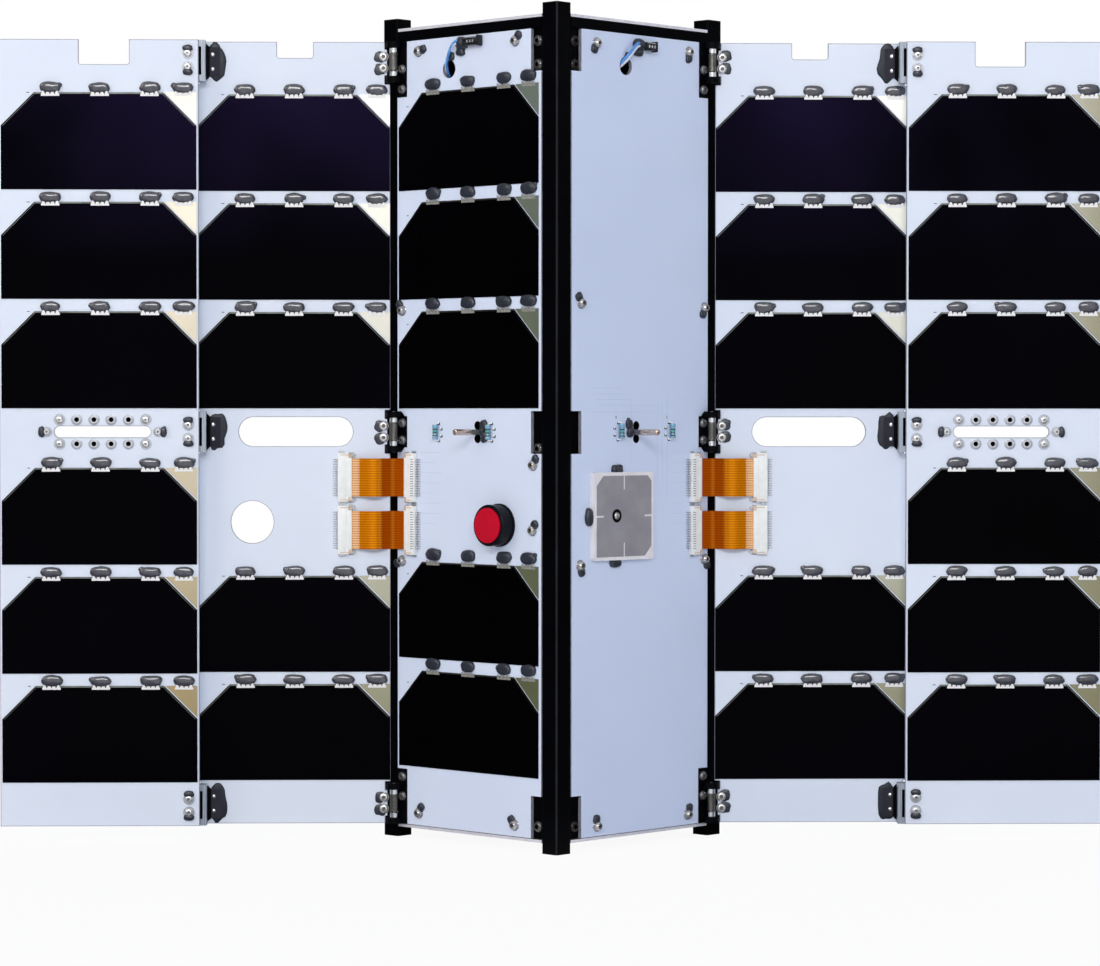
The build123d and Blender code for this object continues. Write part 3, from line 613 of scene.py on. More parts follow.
def drop(seed, wide, high, thick, lumps=0.16):
    """A drop of cured epoxy with its flat side at height 0, each one its own shape."""
    shape = bmesh.new()
    bmesh.ops.create_uvsphere(shape, u_segments=24, v_segments=16, radius=1)
    for vert in shape.verts:
        flat = Vector((vert.co.x, vert.co.y, 0))
        radius = flat.length
        if radius > 1e-6:
            corner = max(abs(flat.x), abs(flat.y)) / radius
            squared = radius / corner ** 0.22
            wobble = 1 + lumps * noise.noise(flat.normalized() * 1.3 + Vector((seed * 7.3, 0, 0)))
            vert.co.x *= squared / radius * wobble
            vert.co.y *= squared / radius * wobble
        lift = abs(vert.co.z) ** 0.5
        dimple = 1 + lumps * 0.3 * noise.noise(Vector((vert.co.x * 1.6, vert.co.y * 1.6, seed * 3.1)))
        vert.co.z = math.copysign(lift * dimple, vert.co.z)
    bmesh.ops.scale(shape, verts=shape.verts, vec=(wide / 2, high / 2, thick))
    cut = bmesh.ops.bisect_plane(shape, geom=shape.verts[:] + shape.edges[:] + shape.faces[:],
                                 plane_co=(0, 0, -0.04), plane_no=(0, 0, -1), clear_outer=True)
    rim = [part for part in cut["geom_cut"] if isinstance(part, bmesh.types.BMEdge)]
    bmesh.ops.edgeloop_fill(shape, edges=rim)
    return mesh_of(shape)


def plate(points, low, high, rim=0.0):
    """A flat outline given thickness, or only a strip of one width inside it."""
    shape = bmesh.new()
    face = shape.faces.new([shape.verts.new((x, y, low)) for x, y in points])
    if rim:
        bmesh.ops.inset_region(shape, faces=[face], thickness=rim, use_boundary=True, use_even_offset=True)
        bmesh.ops.delete(shape, geom=[face], context="FACES_ONLY")
    grown = bmesh.ops.extrude_face_region(shape, geom=shape.faces[:])
    risen = [part for part in grown["geom"] if isinstance(part, bmesh.types.BMVert)]
    bmesh.ops.translate(shape, verts=risen, vec=(0, 0, high - low))
    return shape


def stadium(wide, high, steps=10):
    """The outline of a slot with round ends."""
    radius = high / 2
    points = []
    for end, start in ((1, -90), (-1, 90)):
        for step in range(steps + 1):
            angle = math.radians(start + 180 * step / steps)
            points.append((end * (wide / 2 - radius) + radius * math.cos(angle), radius * math.sin(angle)))
    return points


def swept(points, **settings):
    """A smooth curve near given points, as the mesh that its settings give."""
    curve = bpy.data.curves.new("line", "CURVE")
    curve.dimensions = "3D"
    for key, value in settings.items():
        setattr(curve, key, value)
    line = curve.splines.new("NURBS")
    line.points.add(len(points) - 1)
    for knot, at in zip(line.points, points):
        knot.co = (*at, 1)
    line.order_u = 4
    line.use_endpoint_u = True
    holder = bpy.data.objects.new("line", curve)
    mesh = bpy.data.meshes.new_from_object(holder)
    bpy.data.objects.remove(holder)
    return mesh


def wire(points, radius):
    return swept(points, bevel_depth=radius, bevel_resolution=3, resolution_u=8, use_fill_caps=True)


# Solar cells: the parts round each one

CELL_HALF = CELL_WIDE / 2


def contact_strip():
    """The strip along the top edge of a cell, and the fine lines inside its two sloping edges."""
    reach = CELL_HALF - CELL_CROP
    deep = 0.58
    top = CELL_HIGH - 0.06
    outlines = [[(-reach, top), (-reach - deep, top - deep), (reach + deep, top - deep), (reach, top)]]
    for hand in (-1, 1):
        upper, lower = (hand * reach, CELL_HIGH), (hand * (CELL_HALF - 0.3), CELL_HIGH - CELL_CROP + 0.3)
        outlines.append([(x - hand * inset, y - inset) for (x, y), inset in
                         ((upper, 0.34), (lower, 0.34), (lower, 0.46), (upper, 0.46))])
    return merged([mesh_of(plate(outline, CELL_THICK, CELL_THICK + 0.03)) for outline in outlines])


CELL_EDGE = contact_strip()


def finger_tab():
    """A welded bar on the top edge of the cell whose four fingers climb into the epoxy above it."""
    fingers = []
    foot, head, low, waist, high = 0.94, 0.28, -1.2, -0.6, 0.8
    for number in range(TAB_FINGERS):
        at = (number - (TAB_FINGERS - 1) / 2) * TAB_PITCH
        outline = [(at - foot, low), (at + foot, low), (at + foot, waist), (at + head, high),
                   (at - head, high), (at - foot, waist)]
        finger = plate(outline, CELL_THICK, CELL_THICK + 0.12)
        for vert in finger.verts:
            if vert.co.y > waist + 0.1:
                vert.co.z += 0.8
        fingers.append(mesh_of(finger))
    return merged(fingers)


TAB = finger_tab()
POLE_MARK = block((-0.6, 0.6), (-0.17, 0.17), (0, 0.02))
PAD = dome(0.55, 0.12)

# Finishes of the strip, the tabs and the epoxy; width and height of a drop, how far it stands above the cell
# and how far its tab sinks below the edge; and the place of the pole mark, from the cell's upper left corner
# The face's strip and tabs are the darker copies, painted shade.
FACE_LOOK = (EDGE_SHADED, TIN_SHADED, EPOXY), (8.2, 4.9, 0.7, 0.0), (5.1, -5.2)
WING_LOOK = (EDGE_GLASS, TIN, EPOXY_GLOSSY), (9.0, 4.6, -0.25, 0.35), (CELL_CROP - 2.6, -0.1)


def row_low(row, foot_margin):
    """The height of a cell's lower edge: three rows are set from the board's top and three from its foot."""
    if row < 3:
        return BOARD_TOP - CELL_TOP_MARGIN - CELL_HIGH - row * CELL_PITCH
    return BOARD_FOOT + foot_margin + (5 - row) * CELL_PITCH


def cell_details(label, body, place, rows, foot_margin, look, seed):
    """Edges, tabs, epoxy drops and pole marks of one column of cells."""
    (strip_finish, tab_finish, epoxy), (wide, usual_high, up, sunk), (mark_x, mark_up) = look
    edges, tabs, drops, marks = [], [], [], []
    for row in rows:
        low = row_low(row, foot_margin)
        edges.append((CELL_EDGE, place(0, low)))
        marks.append((POLE_MARK, place(mark_x - CELL_HALF, low + CELL_HIGH + mark_up)))
        for number, along in enumerate(TAB_ALONG):
            at = along - CELL_HALF
            number_seed = seed + row * 4 + number
            sway = noise.noise(Vector((number_seed * 1.7, 0.3, 0)))
            grown = noise.noise(Vector((0.2, number_seed * 2.3, 0)))
            high = usual_high + 0.5 * sway
            tabs.append((TAB, place(at, low + CELL_HIGH - sunk)))
            middle = place(at + 0.4 * sway, low + CELL_HIGH + up + high / 2)
            drops.append((drop(number_seed, wide + 1.2 * grown, high, 1.8 + 0.3 * grown, 0.11), middle))
            # Where the needle is drawn away it leaves a small tail at one end of some drops.
            if number_seed % 3 == 0:
                end = math.copysign(wide / 2 - 0.9, sway)
                drops.append((drop(number_seed + 0.5, 2.6, 2.2, 0.9), middle @ shifted(end, 0.9 + grown)))
    assemble("cell_edges_" + label, body, [strip_finish], edges)
    assemble("cell_tabs_" + label, body, [tab_finish], tabs)
    assemble("cell_epoxy_" + label, body, [epoxy], drops, smooth=60)
    assemble("pole_marks_" + label, body, [MARK], marks)


def back_pads(body, centre, front, rows):
    """Two soldered pads on the back of a wing behind each tab of the cells."""
    pads = [(PAD, behind_wing(centre + along - CELL_HALF + step,
                              row_low(row, WING_FOOT_MARGIN) + CELL_HIGH + 2.6, front))
            for row in rows for along in TAB_ALONG for step in (-1.6, 1.6)]
    assemble("back_pads_" + body, body, [TIN], pads)


cell_details("face", "bus", lambda x, z: on_front("left", FACE_CELL_X + x, z), FIVE_ROWS, FACE_FOOT_MARGIN,
             FACE_LOOK, 500)
SEEDS = {"inner": 100, "outer": 300}
for side, hand in SIDES.items():
    for panel, (centre, front, rows) in PANELS.items():
        body = panel + "_" + side
        cell_details(body, body, lambda x, z: on_wing(hand * centre + x, z, front), rows, WING_FOOT_MARGIN,
                     WING_LOOK, SEEDS[panel] + 60 * hand)
for side, hand in SIDES.items():
    for panel, (centre, front, rows) in PANELS.items():
        back_pads(panel + "_" + side, hand * centre, front, rows)


# Board edges

def routed_edges(name, body):
    """A line of bare resin on both faces of a wing board, where the mask stops short of the routed edge."""
    mask_gap = 0.25
    board = bmesh.new()
    board.from_mesh(frame["nodes"][name].data)
    bmesh.ops.remove_doubles(board, verts=board.verts, dist=1e-6)
    board.normal_update()
    strips = bmesh.new()
    for edge in board.edges:
        faces = sorted(edge.link_faces, key=lambda face: -abs(face.normal.y))
        if len(faces) == 2 and abs(faces[0].normal.y) > 0.9 and abs(faces[1].normal.y) < 0.5:
            lift = faces[0].normal * 0.01 * MM
            inwards = -faces[1].normal * mask_gap * MM
            low, high = [vert.co + lift for vert in edge.verts]
            strips.faces.new([strips.verts.new(at) for at in (low, high, high + inwards, low + inwards)])
    board.free()
    assemble("routed_edges_" + name, body, [RESIN], [(mesh_of(strips), Matrix.Identity(4))])


for side in SIDES:
    for panel in PANELS:
        routed_edges(panel + "_board_" + side, panel + "_" + side)


# Screws and the epoxy that locks them

BOARD_SCREW = screw(2.0, 2.0, 0.85, 2.35)
HINGE_SCREW = screw(1.85, 1.5, 0.7, 2.35)
PANEL_SCREW = screw(1.95, 1.2, 0.95, 2.2, 0.65)
TAB_SCREW = screw(2.35, 1.5, 1.0)
LEAF_SCREW = screw(2.0, 1.4, 0.85)
RIVET = dome(1.0, 0.6)
TAIL = dome(0.85, 0.4)

# s, z and the way the locking drop lies, in degrees anticlockwise from the right as seen
FACE_SCREWS = {
    "left": [(21.3, 326.0, 15), (77.05, 326.3, 50), (21.3, 10.8, 60), (76.7, 10.3, 130), (87.0, 155.8, 60),
             (86.7, 129.6, 60), (11.4, 115.2, 200), (11.4, 219.3, 120)],
    "right": [(76.9, 325.5, 240), (20.8, 326.0, 265), (85.9, 220.8, 120), (10.9, 220.5, 250),
              (86.5, 115.4, 285), (10.7, 115.8, 300), (76.4, 9.8, 100), (21.0, 9.9, 70)],
}
TAB_SCREW_Z = (BOARD_TOP - 5.0, BOARD_TOP - 14.5, MIDDLE_Z + 5.6, MIDDLE_Z - 6.5, BOARD_FOOT + 12.5,
               BOARD_FOOT + 4.8)
# The front rail's middle and bottom tabs have fewer screws than the others.
BLIND_TABS = {"left": (2, 4), "right": (2, 3, 4)}
TAB_SCREW_S = 88.7
LEAF_SCREW_S = 12.0
LEAF_SCREWS_Z = (HINGE_Z["top"] - 2.9, HINGE_Z["top"] - 11.2, MIDDLE_Z + 3.6, MIDDLE_Z - 3.5,
                 HINGE_Z["bottom"] + 11.2, HINGE_Z["bottom"] + 3.1)
LEAF_PROUD = 0.4


def bus_screws():
    """Screws of the face boards, each with the drop of epoxy that locks it, and of the tabs and hinge leaves.
    Each is spun by its own angle, as a real one ends up."""
    steel, leaf, epoxy = [], [], []
    drop_reach = 2.7
    for side in SIDES:
        black = []
        for number, (s, z, way) in enumerate(FACE_SCREWS[side]):
            seed = number + 40 * SIDES[side]
            away = shifted(drop_reach * math.cos(math.radians(way)), drop_reach * math.sin(math.radians(way)))
            steel.append((BOARD_SCREW, on_front(side, s, z) @ spun(seed * 17 % 60)))
            epoxy.append((drop(seed, 3.9, 3.7, 1.3), on_front(side, s, z) @ away @ spun(way)))
            steel.append((BOARD_SCREW, on_rear(side, s, z) @ spun(11 * number)))
        for number, z in enumerate(TAB_SCREW_Z):
            if number not in BLIND_TABS[side]:
                black.append((TAB_SCREW, on_front(side, TAB_SCREW_S, z, -BOARD_THICK) @ spun(13 * number)))
            black.append((TAB_SCREW, on_rear(side, TAB_SCREW_S, z, -BOARD_THICK) @ spun(13 * number)))
            far = on_rear(side, BODY_SIDE - TAB_SCREW_S, z, -BOARD_THICK)
            black.append((TAB_SCREW, far @ spun(7 * number)))
        # The right face's tab screws take the darker copy, painted shade.
        finishes = [BLACK_STEEL if side == "left" else BROWN_STEEL, HINGE_BLACK]
        assemble("tab_screws_" + side, "bus", finishes, black)
        for number, z in enumerate(LEAF_SCREWS_Z):
            leaf.append((LEAF_SCREW, on_front(side, LEAF_SCREW_S, z, LEAF_PROUD) @ spun(19 * number)))
    assemble("screws_bus", "bus", [STEEL, STEEL_SOCKET_SHADE, STEEL], steel)
    assemble("leaf_screws", "bus", [LEAF_STEEL_SHADED, STEEL_SOCKET_SHADE], leaf)
    assemble("screw_epoxy_bus", "bus", [EPOXY], epoxy, smooth=60)


bus_screws()


# Face details

def solder_group(side, s, z, hand, reach):
    """An upright resistor with its leads and the soldered pads beside it. hand is the side of the pads."""
    place = on_front(side, s, z) @ Matrix.Scale(1.2, 4)
    barrel = mesh_of(lathe([(0, -2.5), (0.8, -2.5), (1.0, -2.25), (1.0, -1.7), (0.86, -1.5), (0.86, 1.5),
                            (1.0, 1.7), (1.0, 2.25), (0.8, 2.5), (0, 2.5)], 16))
    pad = dome(0.42, 0.4)
    bodies = [(barrel, place @ shifted(0, 0, 1.1) @ tipped(90))]
    leads, rims = [], []
    ends = ((reach * 0.3, 3.0), (reach * 0.4, -2.8))
    for across, up in ends:
        end = math.copysign(1, up)
        route = [(0, end * 2.4, 1.1), (0, end * 2.8, 1.1), (hand * across * 0.5, end * 3.0, 0.8),
                 (hand * across, up, 0.1)]
        leads.append((wire(route, 0.17), place))
    for across, up in ((reach, 1.2), (reach, -1.2), *ends):
        leads.append((pad, place @ shifted(hand * across, up)))
        rims.append((drop(across * 3 + up, 1.3, 1.1, 0.15), place @ shifted(hand * across + 0.1, up - 0.2)))
    return bodies, leads, rims


STUD_S = {"left": 55.6, "right": 54.2}

# s and z of the middle, width, height and thickness of each drop of epoxy on the front faces
STUD_DROPS = {"left": [(59.4, MIDDLE_Z + 2.7, 3.9, 4.9, 1.5), (59.6, MIDDLE_Z - 1.9, 3.7, 4.8, 1.4),
                       (58.4, MIDDLE_Z + 0.3, 2.4, 3.6, 1.6)],
              "right": [(57.6, MIDDLE_Z + 3.2, 3.7, 4.2, 1.5), (56.9, MIDDLE_Z + 0.1, 3.7, 4.4, 1.6),
                        (57.9, MIDDLE_Z + 5.0, 1.5, 1.9, 0.8)]}
PLUG_DROPS = {"left": [(47.2, 327.2, 6.2, 5.4, 3.0), (46.2, 324.0, 4.8, 3.6, 1.9),
                       (40.7, 322.6, 3.2, 3.8, 1.2)],
              "right": [(52.1, 326.7, 6.2, 4.8, 3.0), (52.3, 323.5, 5.0, 3.4, 1.9),
                        (58.3, 321.9, 3.6, 2.6, 1.4)]}
ANTENNA_DROPS = [(64.9, 153.6, 6.4, 4.6, 2.0), (81.6, 134.9, 4.2, 7.0, 2.0), (66.0, 116.2, 6.2, 4.6, 2.0)]


def face_parts():
    """Resistors, black linings that paint shade in the holes at the studs, epoxy at studs, plugs and antenna,
    and the antenna's feed."""
    bodies, leads, dark, marks = [], [], [], []
    for side, s, z, hand, reach in (("left", 32.1, MIDDLE_Z, 1, 1.9), ("left", 62.7, MIDDLE_Z, 1, 1.9),
                                    ("right", 62.9, MIDDLE_Z + 0.5, -1, 2.6),
                                    ("right", 31.9, MIDDLE_Z + 0.5, -1, 2.6)):
        found = solder_group(side, s, z, hand, reach)
        bodies += found[0]
        leads += found[1]
        dark += found[2]
        if side == "right":
            marks.append((block((-0.25, 0.25), (-0.6, 0.6), (0, 0.02)), on_front(side, s + 2.2, z + 5.6)))
    stakes = [(side, *spot) for group in (STUD_DROPS, PLUG_DROPS) for side, spots in group.items()
              for spot in spots]
    stakes += [("right", *spot) for spot in ANTENNA_DROPS]
    for number, (side, s, z, wide, high, thick) in enumerate(stakes):
        dark.append((drop(70 + number, wide, high, thick, 0.24), on_front(side, s, z)))
    # Each stud hole gets a thin black lining with a rim: painted shade in the hole.
    hole_shade = mesh_of(lathe([(1.46, -BOARD_THICK), (1.46, 0.05), (1.85, 0.05), (1.85, 0), (1.49, 0),
                          (1.49, -BOARD_THICK), (1.46, -BOARD_THICK)]))
    hole_shades = [(hole_shade, on_front(side, s, MIDDLE_Z + up)) for side, s in (("left", 55.6), ("right", 53.0))
              for up in (-2.65, 2.65)]
    assemble("stud_hole_shades", "bus", [SEAL], hole_shades)
    assemble("resistors", "bus", [RESISTOR], bodies)
    assemble("solder_joints", "bus", [TIN], leads)
    assemble("face_epoxy", "bus", [EPOXY], dark, smooth=60)
    assemble("face_marks", "bus", [MARK], marks)
    feed = on_front("right", 67.1, MIDDLE_Z - 33.8, 2.35)
    assemble("antenna_feed_ring", "bus", [SEAL], [(ring(1.55, 2.75, 0.14), feed)])
    assemble("antenna_feed_pin", "bus", [STEEL], [(dome(1.5, 1.0, 20), feed)])


face_parts()


def studs():
    """The hold-down studs: a slim blued foot and a thicker polished shank with a rounded tip."""
    foot_r, shank_r, foot_high, tip = 1.1, 1.3, 4.6, 13.5
    # The ring close below the rounded tip keeps the shank's shading straight.
    shape = lathe([(0, 0), (foot_r, 0), (foot_r, foot_high), (shank_r, foot_high), (shank_r, 12.8),
                   (shank_r, 12.9), (1.22, 13.2), (1.02, 13.42), (0.75, tip), (0, tip)], 40)
    paint(shape, lambda at: at.z < foot_high + 0.05)
    turned = mesh_of(shape)
    piece = assemble("studs", "bus", [STUD, STUD_FOOT],
                     [(turned, on_front(side, s, MIDDLE_Z)) for side, s in STUD_S.items()])
    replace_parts(piece, "hold_down_studs")


studs()


def plugs():
    """A small dark plug beside each wire hole, with a flange at its far end and bright contacts."""
    bodies, contacts = [], []
    for side, near, far, middle in (("left", 49.4, 57.6, 327.8), ("right", 50.2, 44.0, 326.2)):
        hand = math.copysign(1, far - near)
        half = abs(far - near) / 2
        place = on_front(side, (near + far) / 2, middle)
        bodies.append((block((-half, half), (-1.65, 1.65), (0, 3.0), 0.25), place))
        flange = block((-0.5, 0.5), (-2.1, 2.2), (0, 3.1), 0.3)
        bodies.append((flange, on_front(side, far + hand * 0.4, middle)))
        contacts.append((block((-half + 0.8, half - 0.4), (1.2, 1.5), (2.95, 3.08), 0.03, 1), place))
        for at in (-1.2, 0.5, 2.1):
            contacts.append((block((at - 0.4, at + 0.4), (-0.7, 0.5), (2.9, 3.12), 0.06, 1), place))
    piece = assemble("plugs", "bus", [PLUG], bodies)
    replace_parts(piece, "wire_plugs")
    assemble("plug_contacts", "bus", [PINS], contacts)


plugs()


WIRE_R = 0.55


def wires():
    """A blue and a white lead from each plug, in through the wire hole."""
    routes = {"left": ((48.4, 327.6), (46.0, 328.4), (43.2, 326.6), (40.4, 322.8), (36.6, 318.6),
                       (35.2, 315.0)),
              "right": ((51.4, 326.8), (54.6, 326.8), (57.4, 324.8), (59.4, 321.6), (61.2, 318.8),
                        (62.0, 316.2))}
    heights = (1.6, 2.6, 3.1, 2.3, 0.2, -3.6)
    # The way from the white lead to the blue one as seen, in degrees, at the hole. At the plug it is upwards.
    turns = {"left": 0, "right": 130}
    for finish, slip, name in ((WIRE_BLUE, 0.6, "blue"), (WIRE_WHITE, -0.6, "white")):
        stamps = []
        for side, route in routes.items():
            line = []
            for knot, ((s, z), h) in enumerate(zip(route, heights)):
                along = s if side == "left" else BODY_SIDE - s
                way = math.radians(90 + (turns[side] - 90) * knot / (len(route) - 1))
                sunk = knot / 6 if side == "left" and name == "white" else 0
                line.append((along + slip * math.cos(way), z + slip * math.sin(way), h - sunk))
            stamps.append((wire(line, WIRE_R), on_front(side, 0 if side == "left" else BODY_SIDE, 0)))
        piece = assemble("leads_" + name, "bus", [finish], stamps)
        if name == "blue":
            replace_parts(piece, "wire_leads")


wires()


def tracks():
    """Copper tracks that show faintly under the mask of the right face and round its sockets."""
    runs = [((20, 38), (186.5, 186.5)), ((20, 42), (184.2, 184.2)), ((22, 44), (182.0, 182.0)),
            ((24, 60), (179.6, 179.6)), ((20, 58), (177.0, 177.0)), ((60, 60), (150.0, 179.6)),
            ((63, 63), (148.0, 182.0)), ((44, 44), (156.0, 182.0)), ((66, 66), (144.0, 184.0))]
    stamps = []
    for (x_low, x_high), (z_low, z_high) in runs:
        strip = block((x_low, x_high + 0.35), (z_low, z_high + 0.35), (0, 0.045))
        stamps.append((strip, on_front("right", BODY_SIDE, 0)))
    for side in SIDES:
        for number in range(8):
            z = CABLE_Z[0] - 5 + number * 4.2 - 14
            strip = block((0, 9.0 + number % 3 * 2), (0, 0.3), (0, 0.04))
            stamps.append((strip, on_front(side, 22 + (0 if side == "left" else 9.0), z)))
    assemble("tracks_bus", "bus", [TRACE], stamps)


tracks()


# Sockets

PIN_AT = [(number - (PIN_COUNT - 1) / 2) * PIN_PITCH for number in range(PIN_COUNT)]


def socket_shell():
    """The housing of a flat-cable socket: the cable comes out on the +x side, the contacts on the -x side."""
    half = SOCKET_HIGH / 2
    mouth = SOCKET_WIDE / 2
    inner = half - 1.9
    parts = [
        block((-mouth, 0.6), (-half, half), (0, SOCKET_RISE), 0.18),
        block((0.55, mouth - 0.15), (-inner, inner), (1.45, SOCKET_RISE - 0.1), 0.12),
        block((0.55, mouth - 0.3), (-inner, inner), (0, 0.7), 0.1),
    ]
    for end in (-1, 1):
        parts.append(block((0.4, 1.5), (end * (inner - 0.1), end * half), (0, SOCKET_RISE), 0.15))
    return parts


def socket_latches():
    """The latch at each end of the mouth, and the raised line along the housing beside it."""
    half = SOCKET_HIGH / 2
    parts = []
    for end in (-1, 1):
        parts.append(block((1.4, 3.1), (end * (half - 1.9), end * (half - 0.2)),
                           (0.2, SOCKET_RISE - 0.4), 0.15))
        parts.append(block((-2.0, 1.5), (end * (half - 0.55), end * (half - 0.95)),
                           (SOCKET_RISE - 0.1, SOCKET_RISE + 0.05), 0.05, 1))
    return parts


def socket_metal():
    """Gull-wing contacts, the hooked fixing tags and the loops at the latches."""
    half = SOCKET_HIGH / 2
    back = -SOCKET_WIDE / 2
    parts = []
    for at in PIN_AT:
        parts.append(block((back - 2.1, back - 0.5), (at - 0.17, at + 0.17), (0.03, 0.3), 0.06, 1))
        parts.append(block((back - 0.9, back + 0.05), (at - 0.17, at + 0.17), (0.2, 1.15), 0.12, 1))
    for end in (-1, 1):
        hook = [(1.6, end * (half + 0.1), 0.35), (3.1, end * (half + 0.3), 0.35),
                (4.3, end * (half - 0.1), 0.35), (4.5, end * (half - 1.3), 0.35),
                (3.3, end * (half - 1.6), 0.35)]
        parts.append(wire(hook, 0.19))
        low, high = sorted((end * half, end * (half + 0.9)))
        parts.append(block((-2.7, -0.2), (low, high), (0.02, 0.25), 0.06, 1))
        parts.append(block((-2.5, -0.6), (low, (low + high) / 2), (0.02, 1.0), 0.06, 1))
    return parts


def socket_slot_shades():
    """Thin dark strips over the contacts: painted shade in the slots."""
    back = -SOCKET_WIDE / 2
    return [block((back + 0.1, back + 1.9), (at - 0.17, at + 0.17), (SOCKET_RISE, SOCKET_RISE + 0.012))
            for at in PIN_AT]


# Only the sockets on the bus faces show the slots' painted shade, which comes last.
SOCKET_PARTS = (("shell", socket_shell(), SOCKET, "socket_white"), ("latches", socket_latches(), LATCH, None),
                ("contacts", socket_metal(), PINS, "steel"), ("slots", socket_slot_shades(), SLOT_SHADE, None))


def dress_sockets(side):
    """The sockets on the bus face and on the inner panel, with their mouths towards each other."""
    hand = SIDES[side]
    face_turn, panel_turn = (spun(180), spun(0)) if side == "left" else (spun(0), spun(180))
    on_face = [on_front(side, FACE_SOCKET_S, z) @ face_turn for z in CABLE_Z]
    on_panel = [on_wing(hand * PANEL_SOCKET_X, z, INNER_FRONT) @ panel_turn for z in CABLE_Z]
    for where, body, places in (("face", "bus", on_face), ("inner", "inner_" + side, on_panel)):
        for part, masters, finish, slot in SOCKET_PARTS[:4 if where == "face" else 3]:
            stamps = [(mesh, place) for place in places for mesh in masters]
            piece = assemble("socket_" + part + "_" + where + "_" + side, body, [finish], stamps)
            if part == "shell":
                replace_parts(piece, where + "_sockets_" + side)


for side in SIDES:
    dress_sockets(side)


def flat_cables(side):
    """The two ribbons over the root hinge, in plan from the panel's socket to the face's."""
    hand = SIDES[side]
    # x of the left side and y of each point, from the panel inwards
    plan = [(-84.4, -8.6), (-82.2, -8.6), (-80.0, -9.4), (-77.6, -11.2), (-74.8, -12.2), (-72.2, -11.5),
            (-69.6, -8.9), (-67.6, -7.0), (-65.6, -7.0), (-63.6, -8.8), (-61.2, -11.1)]
    ribbon = bmesh.new()
    mesh = swept([(-hand * x, y, 0) for x, y in plan], extrude=CABLE_WIDE / 2, resolution_u=10)
    ribbon.from_mesh(mesh)
    bpy.data.meshes.remove(mesh)
    bmesh.ops.remove_doubles(ribbon, verts=ribbon.verts, dist=1e-3)
    bmesh.ops.recalc_face_normals(ribbon, faces=ribbon.faces)
    bmesh.ops.solidify(ribbon, geom=ribbon.faces[:], thickness=CABLE_THICK)
    mesh = mesh_of(ribbon)
    stamps = [(mesh, Matrix.Scale(MM, 4) @ shifted(0, 0, z)) for z in CABLE_Z]
    piece = assemble("ribbons_" + side, None, [CABLE], stamps, smooth=50)
    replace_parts(piece, "flat_cables_" + side)
    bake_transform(piece)


for side in SIDES:
    flat_cables(side)


# Hinges

def spring_coil():
    """A close-wound torsion spring: 16 turns of 0.44 mm wire."""
    turns, wire_r, coil_r, high = 16, 0.22, 1.56, 7.2
    shape = bmesh.new()
    start = Matrix.Translation((coil_r, 0, -high / 2)) @ Matrix.Rotation(math.pi / 2, 4, "X")
    bmesh.ops.create_circle(shape, segments=6, radius=wire_r, matrix=start)
    steps_a_turn = 14
    bmesh.ops.spin(shape, geom=shape.verts[:] + shape.edges[:], cent=(0, 0, 0), axis=(0, 0, 1),
                   dvec=(0, 0, high / turns / steps_a_turn), angle=2 * math.pi * turns,
                   steps=turns * steps_a_turn, use_merge=False)
    bmesh.ops.holes_fill(shape, edges=shape.edges, sides=6)
    return mesh_of(shape)


COIL = spring_coil()
# A thin black strip on the board beside each spring: painted shade.
SHADE_STRIP = block((-0.5, 0.5), (-5.9, 5.9), (0, 0.28))
KNUCKLE_RING = mesh_of(lathe([(0.9, -1.02), (1.6, -1.02), (1.72, -0.9), (1.72, 0.9), (1.6, 1.02), (0.9, 1.02),
                              (0.9, -1.02)]))
PANEL_SCREW_X = 70.45
BED_X = 139.5
RIVET_X = 141.2
OUTER_SCREW_X = 150.9


